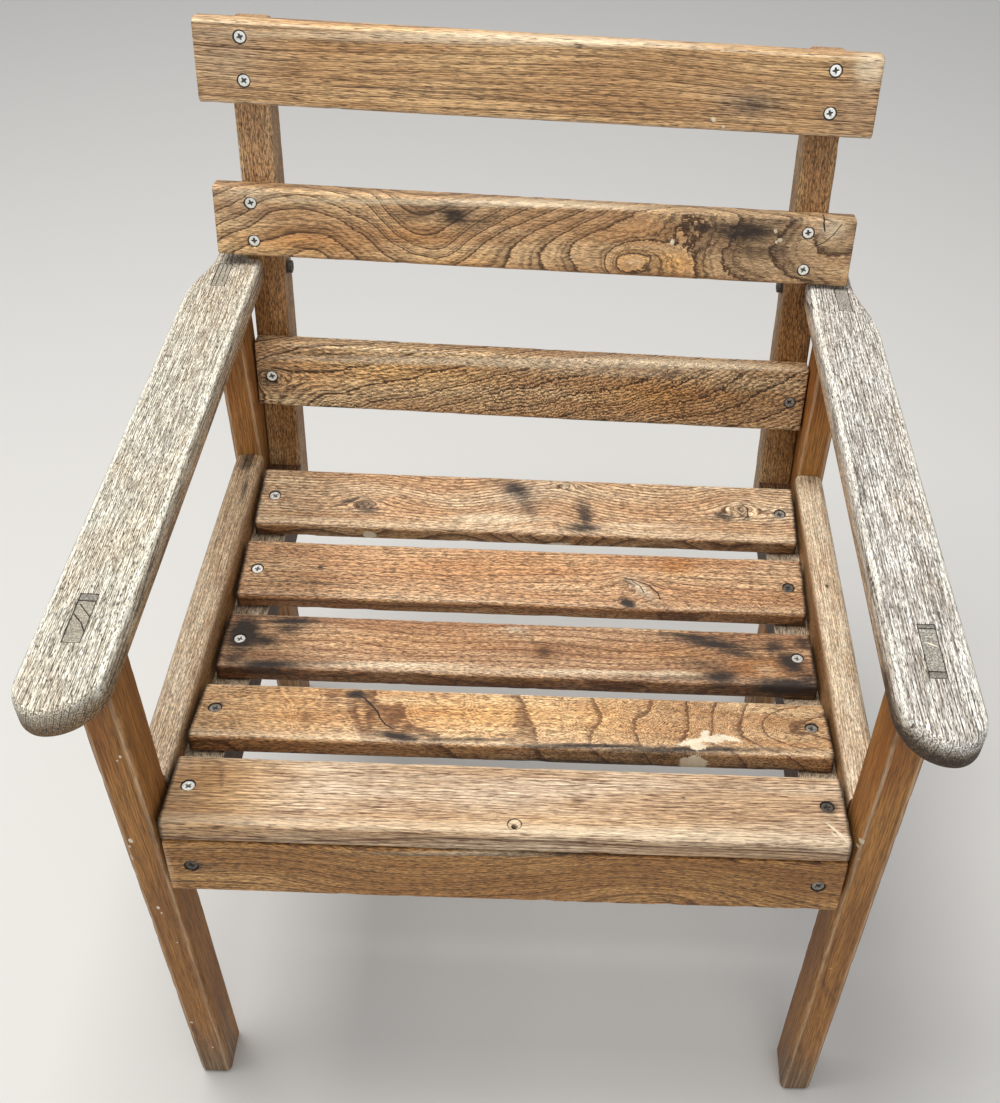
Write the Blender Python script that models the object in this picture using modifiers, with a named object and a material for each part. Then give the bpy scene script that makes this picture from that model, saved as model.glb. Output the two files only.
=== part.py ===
"""A weathered wooden garden armchair with a slatted seat and back.

Two side frames (front leg, rear leg, side rail and arm, joined by mortises and tenons) carry a seat and
back unit: a dished seat bearer and a raked back stile on each side, with the slats screwed across them.
Bolts with nuts and washers, and one screw at each front, fasten that unit between the side frames.

Frame: +Z is up, -Y is the front and +X is on the right when the chair is seen from the front, where
"left" and "right" are the viewer's. Sizes are in metres. Depths are measured back from the front legs'
front faces, and the parent empty moves the chair so that the origin is under the middle of its box.
"""

import math

import bmesh
import bpy
from mathutils import Matrix, Vector

MM = 0.001
GAP = 0.3 * MM                      # clearance between two pieces that touch

# The whole chair
OBJECT_NAME = "garden_armchair"
ORIGIN_DEPTH = 260.55 * MM          # depth of the middle of the bounding box
SIDES = {"left": -1, "right": 1}
LONG_EDGE = 100.0 * MM              # longer edges run along a board, shorter ones round its ends

# Legs
LEG_INNER_X = 263.9 * MM
LEG_WIDTH = 29.0 * MM
LEG_DEPTH = 43.8 * MM
REAR_LEG_DEPTH_AT = 449.0 * MM      # front face of the rear legs
LEG_ROUND = 5.5 * MM
LEG_FOOT_ROUND = 2.75 * MM          # round the foot

# Arms, whose tops fall towards the back
ARM_TOP_AT_FRONT = 609.9 * MM
ARM_SLOPE = 0.0497
ARM_THICKNESS = 26.0 * MM
ARM_INNER_X = 250.8 * MM
ARM_OUTER_X = 307.6 * MM
ARM_REAR_OUTER_X = 293.2 * MM
ARM_TIP_X = 285.0 * MM
ARM_TIP_Y = -61.5 * MM
ARM_INNER_ROUND_Y = -18.0 * MM      # where the nose starts to round, on each side
ARM_OUTER_ROUND_Y = -30.0 * MM
ARM_WAIST_Y = {                     # where the outer edge curves in, and where that ends
    "left": (434.0 * MM, 510.0 * MM),
    "right": (418.0 * MM, 505.0 * MM),
}
ARM_NOTCH_Y = 502.2 * MM            # the back corner is notched round the stile
ARM_REAR_Y = 545.0 * MM
ARM_ROUND = 5.5 * MM
ARM_NOTCH_ROUND = 1.1 * MM          # along the notch
ARM_NOSE_STEPS = 6                  # straight pieces in each quarter of the nose
ARM_WAIST_STEPS = 7

# Tenons of the legs, which show in the arms, and the wedges that spread them
TENON_X = (274.6 * MM, 286.8 * MM)
REAR_TENON_Y = (452.2 * MM, 492.0 * MM)
TENON_BELOW_ARM_TOP = 0.2 * MM
FRONT_TENON_Y = {"left": (0.4 * MM, 40.0 * MM), "right": (2.5 * MM, 42.7 * MM)}
WEDGES = {                          # side, end: width at the arm's top and at its underside
    ("left", "rear"): (6.7 * MM, 2.2 * MM),
    ("right", "front"): (6.2 * MM, 1.8 * MM),
    ("right", "rear"): (4.0 * MM, 1.4 * MM),
}

# Side rails
RAIL_TOP_AT_FRONT = 415.9 * MM
RAIL_SLOPE = 0.0425
RAIL_HEIGHT = 70.0 * MM
RAIL_OUTER_X = 291.2 * MM
RAIL_ROUND = 9.0 * MM               # along the outer top edge
RAIL_INNER_ROUND = 5.4 * MM         # along the inner top edge
RAIL_LOWER_ROUND = 3.2 * MM
RAIL_TENON_X = (272.0 * MM, 281.0 * MM)
RAIL_TENON_LENGTH = 18.0 * MM
RAIL_TENON_INSET = 14.0 * MM

# Seat and back unit, between the side frames
UNIT_OUTER_X = LEG_INNER_X - GAP
UNIT_INNER_X = 232.4 * MM
SLAT_LENGTH = 520.0 * MM
SLAT_THICKNESS = 18.5 * MM
FRONT_SLAT_THICKNESS = 21.8 * MM
SLAT_ROUND = 4.5 * MM
SLAT_END_ROUND = 1.6 * MM
SEAT_SCREW_X = 245.3 * MM
SEAT_SCREW_FROM_BACK = 34.0 * MM
# Seat slats from the front: depth and height of the rear top arris, rise towards the back, and width
SEAT_SLATS = (
    (67.7 * MM, 409.4 * MM, -6.1, 70.4 * MM),
    (157.7 * MM, 391.9 * MM, -9.9, 67.6 * MM),
    (251.8 * MM, 378.4 * MM, -3.3, 67.6 * MM),
    (340.6 * MM, 384.9 * MM, 5.4, 67.6 * MM),
    (437.7 * MM, 390.1 * MM, 6.7, 72.5 * MM),
)
BEARER_BOTTOM_AT_FRONT = 334.0 * MM
BEARER_BOTTOM_SLOPE = 0.03
BEARER_TENON_X = (243.0 * MM, 253.0 * MM)
BEARER_TENON_Z = (347.0 * MM, 363.0 * MM)
BEARER_TENON_DEPTH = 24.0 * MM
APRON_WIDTH = 56.4 * MM
APRON_THICKNESS = 18.5 * MM
APRON_ROUND = 2.5 * MM
APRON_GAP = 0.8 * MM
APRON_SCREW_X = 241.0 * MM
APRON_SCREW_DROP = 28.6 * MM
SPARE_HOLE_X = 5.6 * MM             # a countersunk hole with no screw in it
SPARE_HOLE_FROM_FRONT = 9.7 * MM
SPARE_HOLE_MOUTH_RADIUS = 4.6 * MM
SPARE_HOLE_RADIUS = 2.2 * MM
SPARE_HOLE_SUNK = 1.0 * MM          # depth where the countersink starts
SPARE_HOLE_DEPTH = 36.0 * MM
SPARE_HOLE_POINT = 2.0 * MM

# Back, which leans and has racked a little
BACK_RAKE = math.atan(0.1941)
BACK_FACE_Y = 464.8 * MM            # depth of the slats' front faces at the height below
BACK_FACE_Z = 471.0 * MM
BACK_SLAT_THICKNESS = 20.1 * MM
BACK_SLAT_ROUND = 3.5 * MM
BACK_SCREW_X = 248.1 * MM
BACK_RACK = 3.2 * MM                # rise of the slats' left ends, and drop of their right ends
STILE_DEPTH = 38.3 * MM
STILE_BOTTOM_Z = 315.0 * MM
STILE_BELOW_SLAT = 5.0 * MM
STILE_TOP_ROUND = 6.0 * MM
STILE_EDGE_ROUND = 2.7 * MM
# name: height of the front top arris, width, length, heights of the screws and their shift to the right
BACK_SLATS = {
    "low": (510.6 * MM, 66.0 * MM, 524.4 * MM, (474.6 * MM,), 0.0),
    "middle": (654.0 * MM, 62.8 * MM, 571.4 * MM, (638.8 * MM, 605.0 * MM), -4.4 * MM),
    "top": (790.2 * MM, 67.9 * MM, 575.2 * MM, (775.8 * MM, 741.5 * MM), 0.0),
}

# Fixings
HOLE_OVERRUN = 4.0 * MM             # how far a hole's cutter stands out of the face
SCREW_HEAD_RADIUS = 4.9 * MM
SCREW_SHANK_RADIUS = 2.0 * MM
SCREW_SUNK = 0.9 * MM
SCREW_LENGTH = 38.0 * MM
SCREW_RIM = 0.5 * MM                # straight rim of the head
SCREW_POINT = 3.0 * MM
SCREW_STEPS = 12
BEARER_SCREW_AT = (88.0 * MM, 363.0 * MM)
BOLT_RADIUS = 3.0 * MM
BOLT_HEAD_RADIUS = 8.0 * MM
BOLT_HEAD_HEIGHT = 3.4 * MM
BOLT_STEPS = 16
BOLT_DOME_STEPS = 4
BOLT_END = 0.6 * MM                 # how far the bolt stands out of its nut
BOLT_CHAMFER = 0.5 * MM
WASHER_RADIUS = 6.6 * MM
WASHER_THICKNESS = 1.0 * MM
NUT_ACROSS_FLATS = 10.0 * MM
NUT_HEIGHT = 3.2 * MM
ARM_BOLT_AT = (522.0 * MM, 566.0 * MM)
LEG_BOLT_AT = (476.0 * MM, 333.0 * MM)

# Finishes: base colour, roughness, metallic
FINISHES = {
    "oiled_wood": ((0.36, 0.21, 0.11), 0.62, 0.0),
    "bleached_wood": ((0.55, 0.50, 0.40), 0.82, 0.0),
    "grey_wood": ((0.30, 0.26, 0.21), 0.85, 0.0),
    "end_grain_wood": ((0.36, 0.33, 0.28), 0.90, 0.0),
    "bright_steel": ((0.62, 0.62, 0.60), 0.34, 1.0),
    "dull_steel": ((0.34, 0.33, 0.31), 0.55, 1.0),
}

# A side view drawn in (depth, height) and extruded across the chair
SIDE_VIEW = Matrix(((0, 0, 1, 0), (1, 0, 0, 0), (0, 1, 0, 0), (0, 0, 0, 1)))


# ---- Scene ----

def clear_scene():
    """Remove every object that the scene holds."""
    for item in list(bpy.data.objects):
        bpy.data.objects.remove(item)


def new_collection(name):
    """Make a collection and hang it on the scene."""
    collection = bpy.data.collections.new(name)
    bpy.context.scene.collection.children.link(collection)
    return collection


def finish_material(name):
    """Return the Principled material of one finish, made on first use."""
    material = bpy.data.materials.get(name)
    if material is None:
        colour, roughness, metallic = FINISHES[name]
        material = bpy.data.materials.new(name)
        material.use_nodes = True
        shader = material.node_tree.nodes["Principled BSDF"]
        shader.inputs["Base Color"].default_value = (*colour, 1.0)
        shader.inputs["Roughness"].default_value = roughness
        shader.inputs["Metallic"].default_value = metallic
        material.diffuse_color = (*colour, 1.0)
    return material


clear_scene()
chair = new_collection(OBJECT_NAME)
tools = new_collection("cutters")
origin = bpy.data.objects.new(OBJECT_NAME + "_origin", None)
origin.location = (0.0, -ORIGIN_DEPTH, 0.0)
chair.objects.link(origin)


def add_piece(name, mesh, placing, finish):
    """Add one piece of the chair, placed in the workshop frame under the parent empty."""
    piece = bpy.data.objects.new(name, mesh)
    piece.parent = origin
    piece.matrix_local = placing
    mesh.materials.append(finish_material(finish))
    chair.objects.link(piece)
    return piece


def add_tool(name, mesh, placing):
    """Add a solid that only cuts or extends other pieces."""
    tool = bpy.data.objects.new(name, mesh)
    tool.parent = origin
    tool.matrix_local = placing
    tool.hide_render = True
    tool.display_type = "WIRE"
    tools.objects.link(tool)
    return tool


# ---- Shapes ----

def box_mesh(name, size):
    """A box of the given size, centred on its own origin."""
    mesh = bpy.data.meshes.new(name)
    shape = bmesh.new()
    bmesh.ops.create_cube(shape, size=1.0)
    bmesh.ops.scale(shape, vec=size, verts=shape.verts)
    shape.to_mesh(mesh)
    shape.free()
    return mesh


def outline_mesh(name, outline, thickness):
    """A flat outline in its own XY plane, thickened equally to both sides of it."""
    curve = bpy.data.curves.new(name, "CURVE")
    curve.dimensions = "2D"
    curve.fill_mode = "BOTH"
    curve.extrude = thickness / 2
    spline = curve.splines.new("POLY")
    spline.points.add(len(outline) - 1)
    for point, (x, y) in zip(spline.points, outline):
        point.co = (x, y, 0.0, 1.0)
    spline.use_cyclic_u = True
    holder = bpy.data.objects.new(name, curve)
    bpy.context.scene.collection.objects.link(holder)
    depsgraph = bpy.context.evaluated_depsgraph_get()
    mesh = bpy.data.meshes.new_from_object(holder.evaluated_get(depsgraph))
    bpy.data.objects.remove(holder)
    shape = bmesh.new()
    shape.from_mesh(mesh)
    bmesh.ops.remove_doubles(shape, verts=shape.verts, dist=0.00001)
    bmesh.ops.dissolve_limit(shape, angle_limit=0.001, verts=shape.verts, edges=shape.edges)
    bmesh.ops.recalc_face_normals(shape, faces=shape.faces)
    shape.to_mesh(mesh)
    shape.free()
    return mesh


def turned_piece(piece, steps):
    """Turn the profile of a piece round its own Z axis."""
    screw = piece.modifiers.new("turn", "SCREW")
    screw.steps = steps
    screw.render_steps = steps
    screw.use_merge_vertices = True
    screw.merge_threshold = 0.00001


def profile_mesh(name, profile):
    """A profile of (radius, height) points at +X, from top to bottom, to be turned round Z."""
    mesh = bpy.data.meshes.new(name)
    points = [(radius, 0.0, height) for radius, height in profile]
    mesh.from_pydata(points, [(i, i + 1) for i in range(len(points) - 1)], [])
    return mesh


def round_edges(piece, width, weight_of, segments=3):
    """Bevel a piece, where weight_of(edge vector, middle) gives each edge's share of the width."""
    mesh = piece.data
    weights = mesh.attributes.new("bevel_weight_edge", "FLOAT", "EDGE")
    for edge in mesh.edges:
        start, end = (mesh.vertices[index].co for index in edge.vertices)
        weights.data[edge.index].value = weight_of(end - start, (start + end) / 2)
    bevel = piece.modifiers.new("round", "BEVEL")
    bevel.limit_method = "WEIGHT"
    bevel.width = width
    bevel.segments = segments


def combine(piece, tool, operation):
    """Cut a tool out of a piece, or join it on."""
    boolean = piece.modifiers.new(tool.name, "BOOLEAN")
    boolean.operation = operation
    boolean.solver = "EXACT"
    boolean.object = tool


def cut(tool, *pieces):
    """Cut one tool out of several pieces."""
    for piece in pieces:
        combine(piece, tool, "DIFFERENCE")


def across(x_range, side):
    """Placing of a side view whose extrusion fills x_range on one side of the chair."""
    return Matrix.Translation((side * sum(x_range) / 2, 0.0, 0.0)) @ SIDE_VIEW


def span(x_range):
    """Width of a range."""
    return x_range[1] - x_range[0]


# ---- Side frames ----

def arm_top(depth):
    """Height of the arm's top at a depth."""
    return ARM_TOP_AT_FRONT - ARM_SLOPE * depth


def arm_underside(depth):
    """Height of the arm's underside at a depth."""
    return arm_top(depth) - ARM_THICKNESS * math.hypot(1.0, ARM_SLOPE)


def rail_top(depth):
    """Height of a side rail's top at a depth."""
    return RAIL_TOP_AT_FRONT - RAIL_SLOPE * depth


def make_leg(name, side, front, tenon_y):
    """A leg that stands from the floor to the arm, with a tenon through the arm."""
    back = front + LEG_DEPTH
    outline = ((front, 0.0), (back, 0.0), (back, arm_underside(back) - GAP),
               (front, arm_underside(front) - GAP))
    x_range = (LEG_INNER_X, LEG_INNER_X + LEG_WIDTH)
    mesh = outline_mesh(name, outline, span(x_range))
    leg = add_piece(name, mesh, across(x_range, side), "oiled_wood")

    def weight(vector, middle):
        if abs(vector.y) > LONG_EDGE:
            return 1.0
        return LEG_FOOT_ROUND / LEG_ROUND if middle.y < GAP else 0.0

    round_edges(leg, LEG_ROUND, weight)
    root = arm_underside(back) - ARM_THICKNESS
    drop = TENON_BELOW_ARM_TOP
    tenon = ((tenon_y[0], root), (tenon_y[1], root),
             (tenon_y[1], arm_top(tenon_y[1]) - drop), (tenon_y[0], arm_top(tenon_y[0]) - drop))
    tool = add_tool(name + "_tenon", outline_mesh(name + "_tenon", tenon, span(TENON_X)),
                    across(TENON_X, side))
    combine(leg, tool, "UNION")
    return leg


def arm_outline(side_name):
    """Outline of an arm from above, in (x, depth): nose, outer edge, waist, rear end and notch."""
    side = SIDES[side_name]
    waist_start, waist_end = ARM_WAIST_Y[side_name]

    def quarter(edge_x, start_y, start_angle, end_angle):
        width = abs(edge_x - ARM_TIP_X)
        for step in range(ARM_NOSE_STEPS + 1):
            angle = start_angle + (end_angle - start_angle) * step / ARM_NOSE_STEPS
            yield (ARM_TIP_X + width * math.cos(angle),
                   start_y + (start_y - ARM_TIP_Y) * math.sin(angle))

    points = list(quarter(ARM_INNER_X, ARM_INNER_ROUND_Y, math.pi, 1.5 * math.pi))
    points += list(quarter(ARM_OUTER_X, ARM_OUTER_ROUND_Y, 1.5 * math.pi, 2.0 * math.pi))[1:]
    for step in range(ARM_WAIST_STEPS + 1):
        along = step / ARM_WAIST_STEPS
        inward = (ARM_OUTER_X - ARM_REAR_OUTER_X) * (0.5 + 0.5 * math.cos(math.pi * along))
        points.append((ARM_REAR_OUTER_X + inward, waist_start + (waist_end - waist_start) * along))
    points += [(ARM_REAR_OUTER_X, ARM_REAR_Y), (LEG_INNER_X, ARM_REAR_Y),
               (LEG_INNER_X, ARM_NOTCH_Y), (ARM_INNER_X, ARM_NOTCH_Y)]
    outline = [(side * x, y) for x, y in points]
    return outline if side > 0 else outline[::-1]


def make_arm(side_name):
    """An arm, flat on top and sloping to the back, with its top and bottom rims rounded."""
    name = f"arm_{side_name}"
    mesh = outline_mesh(name, arm_outline(side_name), ARM_THICKNESS)
    middle = (arm_top(0.0) + arm_underside(0.0)) / 2
    placing = Matrix.Translation((0.0, 0.0, middle)) @ Matrix.Rotation(-math.atan(ARM_SLOPE), 4, "X")
    arm = add_piece(name, mesh, placing, "bleached_wood")
    inner_corner = (LEG_INNER_X + GAP, ARM_NOTCH_Y - GAP)

    def weight(vector, middle):
        if abs(vector.z) > GAP:
            return 0.0
        in_notch = abs(middle.x) < inner_corner[0] and middle.y > inner_corner[1]
        return ARM_NOTCH_ROUND / ARM_ROUND if in_notch else 1.0

    round_edges(arm, ARM_ROUND, weight, segments=2)
    return arm


def wedge_outline(side_name, end, clearance=0.0):
    """Side view of a wedge beside the front tenon, or with a clearance of the flare that holds it."""
    outward = -1 if end == "front" else 1
    top_width, bottom_width = WEDGES[side_name, end]
    face = FRONT_TENON_Y[side_name][0 if end == "front" else 1] + outward * GAP
    low, high = arm_underside(face), arm_top(face)

    def far(height):
        share = (height - low) / (high - low)
        return face + outward * (bottom_width + (top_width - bottom_width) * share + clearance)

    near = face - outward * clearance
    if clearance:
        bottom, top = low - HOLE_OVERRUN, high + HOLE_OVERRUN
    else:
        bottom, top = low + MM, min(high, arm_top(far(high))) - TENON_BELOW_ARM_TOP
    return (near, bottom), (far(bottom), bottom), (far(top), top), (near, top)


def make_wedge(side_name, end):
    """A wedge driven in beside a front tenon."""
    name = f"arm_wedge_{side_name}_{end}"
    mesh = outline_mesh(name, wedge_outline(side_name, end), span(TENON_X))
    return add_piece(name, mesh, across(TENON_X, SIDES[side_name]), "end_grain_wood")


def cut_arm_mortises(arm, side_name):
    """Cut the two through mortises of an arm, and the flare for each wedge."""
    side = SIDES[side_name]
    x_range = (TENON_X[0] - GAP, TENON_X[1] + GAP)
    for end, tenon_y in (("front", FRONT_TENON_Y[side_name]), ("rear", REAR_TENON_Y)):
        y_range = (tenon_y[0] - GAP, tenon_y[1] + GAP)
        size = (span(x_range), span(y_range), 3 * ARM_THICKNESS)
        centre = (side * sum(x_range) / 2, sum(y_range) / 2, arm_top(sum(y_range) / 2))
        name = f"arm_mortise_{side_name}_{end}"
        cut(add_tool(name, box_mesh(name, size), Matrix.Translation(centre)), arm)
    for wedge_side, end in WEDGES:
        if wedge_side == side_name:
            name = f"wedge_seat_{side_name}_{end}"
            mesh = outline_mesh(name, wedge_outline(side_name, end, GAP), span(x_range))
            cut(add_tool(name, mesh, across(x_range, side)), arm)


def rail_tenon_outline(clearance):
    """Side view of the bar that makes both tenons of a side rail."""
    start = LEG_DEPTH - RAIL_TENON_LENGTH - clearance
    end = REAR_LEG_DEPTH_AT + RAIL_TENON_LENGTH + clearance
    inset = RAIL_TENON_INSET - clearance
    return tuple((y, rail_top(y) - drop) for y, drop in (
        (start, RAIL_HEIGHT - inset), (end, RAIL_HEIGHT - inset), (end, inset), (start, inset)))


def make_rail(side_name, legs):
    """A side rail between two legs, with its tenons in their mortises."""
    side = SIDES[side_name]
    name = f"side_rail_{side_name}"
    start, end = LEG_DEPTH + GAP, REAR_LEG_DEPTH_AT - GAP
    outline = tuple((y, rail_top(y) - drop) for y, drop in (
        (start, RAIL_HEIGHT), (end, RAIL_HEIGHT), (end, 0.0), (start, 0.0)))
    x_range = (LEG_INNER_X, RAIL_OUTER_X)
    mesh = outline_mesh(name, outline, span(x_range))
    rail = add_piece(name, mesh, across(x_range, side), "oiled_wood")
    middle_height = rail_top((start + end) / 2) - RAIL_HEIGHT / 2

    def weight(vector, middle):
        if abs(vector.x) < LONG_EDGE:
            return 0.0
        if middle.y < middle_height:
            return RAIL_LOWER_ROUND / RAIL_ROUND
        return 1.0 if middle.z * side > 0 else RAIL_INNER_ROUND / RAIL_ROUND

    round_edges(rail, RAIL_ROUND, weight, segments=4)
    tenon = f"rail_tenon_{side_name}"
    mesh = outline_mesh(tenon, rail_tenon_outline(0.0), span(RAIL_TENON_X))
    combine(rail, add_tool(tenon, mesh, across(RAIL_TENON_X, side)), "UNION")
    mortise = f"rail_mortise_{side_name}"
    mesh = outline_mesh(mortise, rail_tenon_outline(GAP), span(RAIL_TENON_X) + 2 * GAP)
    cut(add_tool(mortise, mesh, across(RAIL_TENON_X, side)), *legs)
    return rail


# ---- Seat ----

def seat_placing(index):
    """Placing of a seat slat's rear top arris: +Y runs back along the slat and +Z out of its top."""
    depth, height, rise, _ = SEAT_SLATS[index]
    return (Matrix.Translation((0.0, depth, height))
            @ Matrix.Rotation(math.radians(rise), 4, "X"))


def slat_size(index):
    """Width and thickness of a seat slat."""
    return SEAT_SLATS[index][3], FRONT_SLAT_THICKNESS if index == 0 else SLAT_THICKNESS


def long_edges(vector, middle):
    """Full rounding along a board, and less round its ends."""
    return 1.0 if abs(vector.x) > LONG_EDGE else SLAT_END_ROUND / SLAT_ROUND


def make_board(name, size, placing, finish, rounding, segments=3):
    """A slat or other flat board with all its edges rounded."""
    board = add_piece(name, box_mesh(name, size), placing, finish)
    round_edges(board, rounding, long_edges, segments)
    return board


def make_seat_slat(index):
    """A seat slat."""
    width, thickness = slat_size(index)
    placing = seat_placing(index) @ Matrix.Translation((0.0, -width / 2, -thickness / 2))
    return make_board(f"seat_slat_{index + 1}", (SLAT_LENGTH, width, thickness), placing,
                      "oiled_wood", SLAT_ROUND)


def apron_frame():
    """Placing of the front slat's lower front arris, where the apron hangs down from the slat."""
    width, thickness = slat_size(0)
    return seat_placing(0) @ Matrix.Translation((0.0, -width, -thickness - APRON_GAP))


def make_apron():
    """The apron under the front slat, square to it."""
    placing = apron_frame() @ Matrix.Translation((0.0, APRON_THICKNESS / 2, -APRON_WIDTH / 2))
    return make_board("front_apron", (SLAT_LENGTH, APRON_THICKNESS, APRON_WIDTH), placing,
                      "oiled_wood", APRON_ROUND, segments=2)


def bearer_bottom(depth):
    """Height of a seat bearer's lower edge at a depth."""
    return BEARER_BOTTOM_AT_FRONT - BEARER_BOTTOM_SLOPE * depth


def stile_front(height):
    """Depth of a stile's front face at a height."""
    behind = (BACK_SLAT_THICKNESS + GAP) / math.cos(BACK_RAKE)
    return BACK_FACE_Y + math.tan(BACK_RAKE) * (height - BACK_FACE_Z) + behind


def bearer_outline():
    """Side view of a seat bearer: its top follows the slats' undersides, its ends meet the apron and
    the stile."""
    behind_apron = apron_frame() @ Matrix.Translation((0.0, APRON_THICKNESS + GAP, 0.0))
    down = behind_apron.to_3x3() @ Vector((0.0, 0.0, -1.0))
    start = behind_apron.translation
    low = start + down * ((start.z - bearer_bottom(start.y)) / -down.z)
    points = [(low.y, low.z)]
    for index in range(len(SEAT_SLATS)):
        width, thickness = slat_size(index)
        near_apron = APRON_THICKNESS + GAP if index == 0 else SLAT_ROUND
        for y in (near_apron - width, -SLAT_ROUND):
            corner = seat_placing(index) @ Vector((0.0, y, -thickness - GAP))
            points.append((corner.y, corner.z))
    last_height = points[-1][1]
    points.append((stile_front(last_height) - GAP, last_height))
    bottom = bearer_bottom(REAR_LEG_DEPTH_AT)
    points.append((stile_front(bottom) - GAP, bottom))
    return points


def make_bearer(side_name):
    """A seat bearer, with a tenon at its back end for the stile."""
    side = SIDES[side_name]
    name = f"seat_bearer_{side_name}"
    x_range = (UNIT_INNER_X, UNIT_OUTER_X)
    mesh = outline_mesh(name, bearer_outline(), span(x_range))
    bearer = add_piece(name, mesh, across(x_range, side), "grey_wood")
    tenon = f"bearer_tenon_{side_name}"
    mesh = outline_mesh(tenon, bearer_tenon_outline(0.0), span(BEARER_TENON_X))
    combine(bearer, add_tool(tenon, mesh, across(BEARER_TENON_X, side)), "UNION")
    return bearer


def bearer_tenon_outline(clearance):
    """Side view of the tenon between a bearer and its stile."""
    low, high = BEARER_TENON_Z[0] - clearance, BEARER_TENON_Z[1] + clearance
    root = stile_front(low) - BEARER_TENON_DEPTH
    end = stile_front(low) + BEARER_TENON_DEPTH + clearance
    return (root, low), (end, low), (end, high), (root, high)


# ---- Back ----

def back_point(height, behind=0.0):
    """Depth and height of a point behind the slats' front faces, level with a height on them."""
    depth = BACK_FACE_Y + math.tan(BACK_RAKE) * (height - BACK_FACE_Z)
    return (depth + behind * math.cos(BACK_RAKE), height - behind * math.sin(BACK_RAKE))


def back_placing(height, x=0.0, behind=0.0):
    """Placing on the back: +Z runs up the slats' faces and +Y straight back into them."""
    depth, level = back_point(height, behind)
    return Matrix.Translation((x, depth, level)) @ Matrix.Rotation(-BACK_RAKE, 4, "X")


def racked(placing):
    """Turn a placing in the plane of the back, so that its left end rises by BACK_RACK."""
    return placing @ Matrix.Rotation(math.asin(BACK_RACK / BACK_SCREW_X), 4, "Y")


def make_back_slat(name):
    """A back slat, racked with the rest of the back."""
    top, width, length, _, _ = BACK_SLATS[name]
    middle = top - width / 2 * math.cos(BACK_RAKE)
    placing = racked(back_placing(middle, behind=BACK_SLAT_THICKNESS / 2))
    return make_board(f"back_slat_{name}", (length, BACK_SLAT_THICKNESS, width), placing,
                      "oiled_wood", BACK_SLAT_ROUND)


def make_stile(side_name):
    """A back stile, behind the slats from below the seat to the top of the back."""
    side = SIDES[side_name]
    name = f"back_stile_{side_name}"
    drop = STILE_BELOW_SLAT + side * BACK_RACK
    top = BACK_SLATS["top"][0] - drop * math.cos(BACK_RAKE)
    length = (top - STILE_BOTTOM_Z) / math.cos(BACK_RAKE)
    x_range = (UNIT_INNER_X, UNIT_OUTER_X)
    placing = (back_placing(top, side * sum(x_range) / 2, BACK_SLAT_THICKNESS + GAP)
               @ Matrix.Translation((0.0, STILE_DEPTH / 2, -length / 2)))
    mesh = box_mesh(name, (span(x_range), STILE_DEPTH, length))
    stile = add_piece(name, mesh, placing, "oiled_wood")

    def weight(vector, middle):
        if middle.z > length / 2 - GAP:
            return 1.0
        return STILE_EDGE_ROUND / STILE_TOP_ROUND if abs(vector.z) > LONG_EDGE else 0.0

    round_edges(stile, STILE_TOP_ROUND, weight)
    return stile


# ---- Fixings ----

def screw_profile(grow):
    """Profile of a countersunk screw with its head's top at zero, or of the hole that it sits in."""
    mouth = HOLE_OVERRUN if grow else 0.0
    head, shank = SCREW_HEAD_RADIUS + grow, SCREW_SHANK_RADIUS + grow
    rim = SCREW_RIM + grow
    neck = rim + (head - shank)
    end = SCREW_LENGTH + 2 * grow
    return ((0.0, mouth), (head, mouth), (head, -rim), (shank, -neck), (shank, SCREW_POINT - end),
            (0.0, -end))


def make_screw(name, placing, finish, *boards):
    """A screw whose head is sunk below the face at placing, and its hole through the boards."""
    seat = placing @ Matrix.Translation((0.0, 0.0, -SCREW_SUNK))
    screw = add_piece(name, profile_mesh(name, screw_profile(0.0)), seat, finish)
    turned_piece(screw, SCREW_STEPS)
    hole = add_tool(name + "_hole", profile_mesh(name + "_hole", screw_profile(GAP)), seat)
    turned_piece(hole, SCREW_STEPS)
    cut(hole, *boards)
    return screw


def outward(side, depth, height, x):
    """Placing at a point on a side frame whose +Z points out of the chair."""
    return Matrix.Translation((side * x, depth, height)) @ Matrix.Rotation(side * math.pi / 2, 4, "Y")


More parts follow.
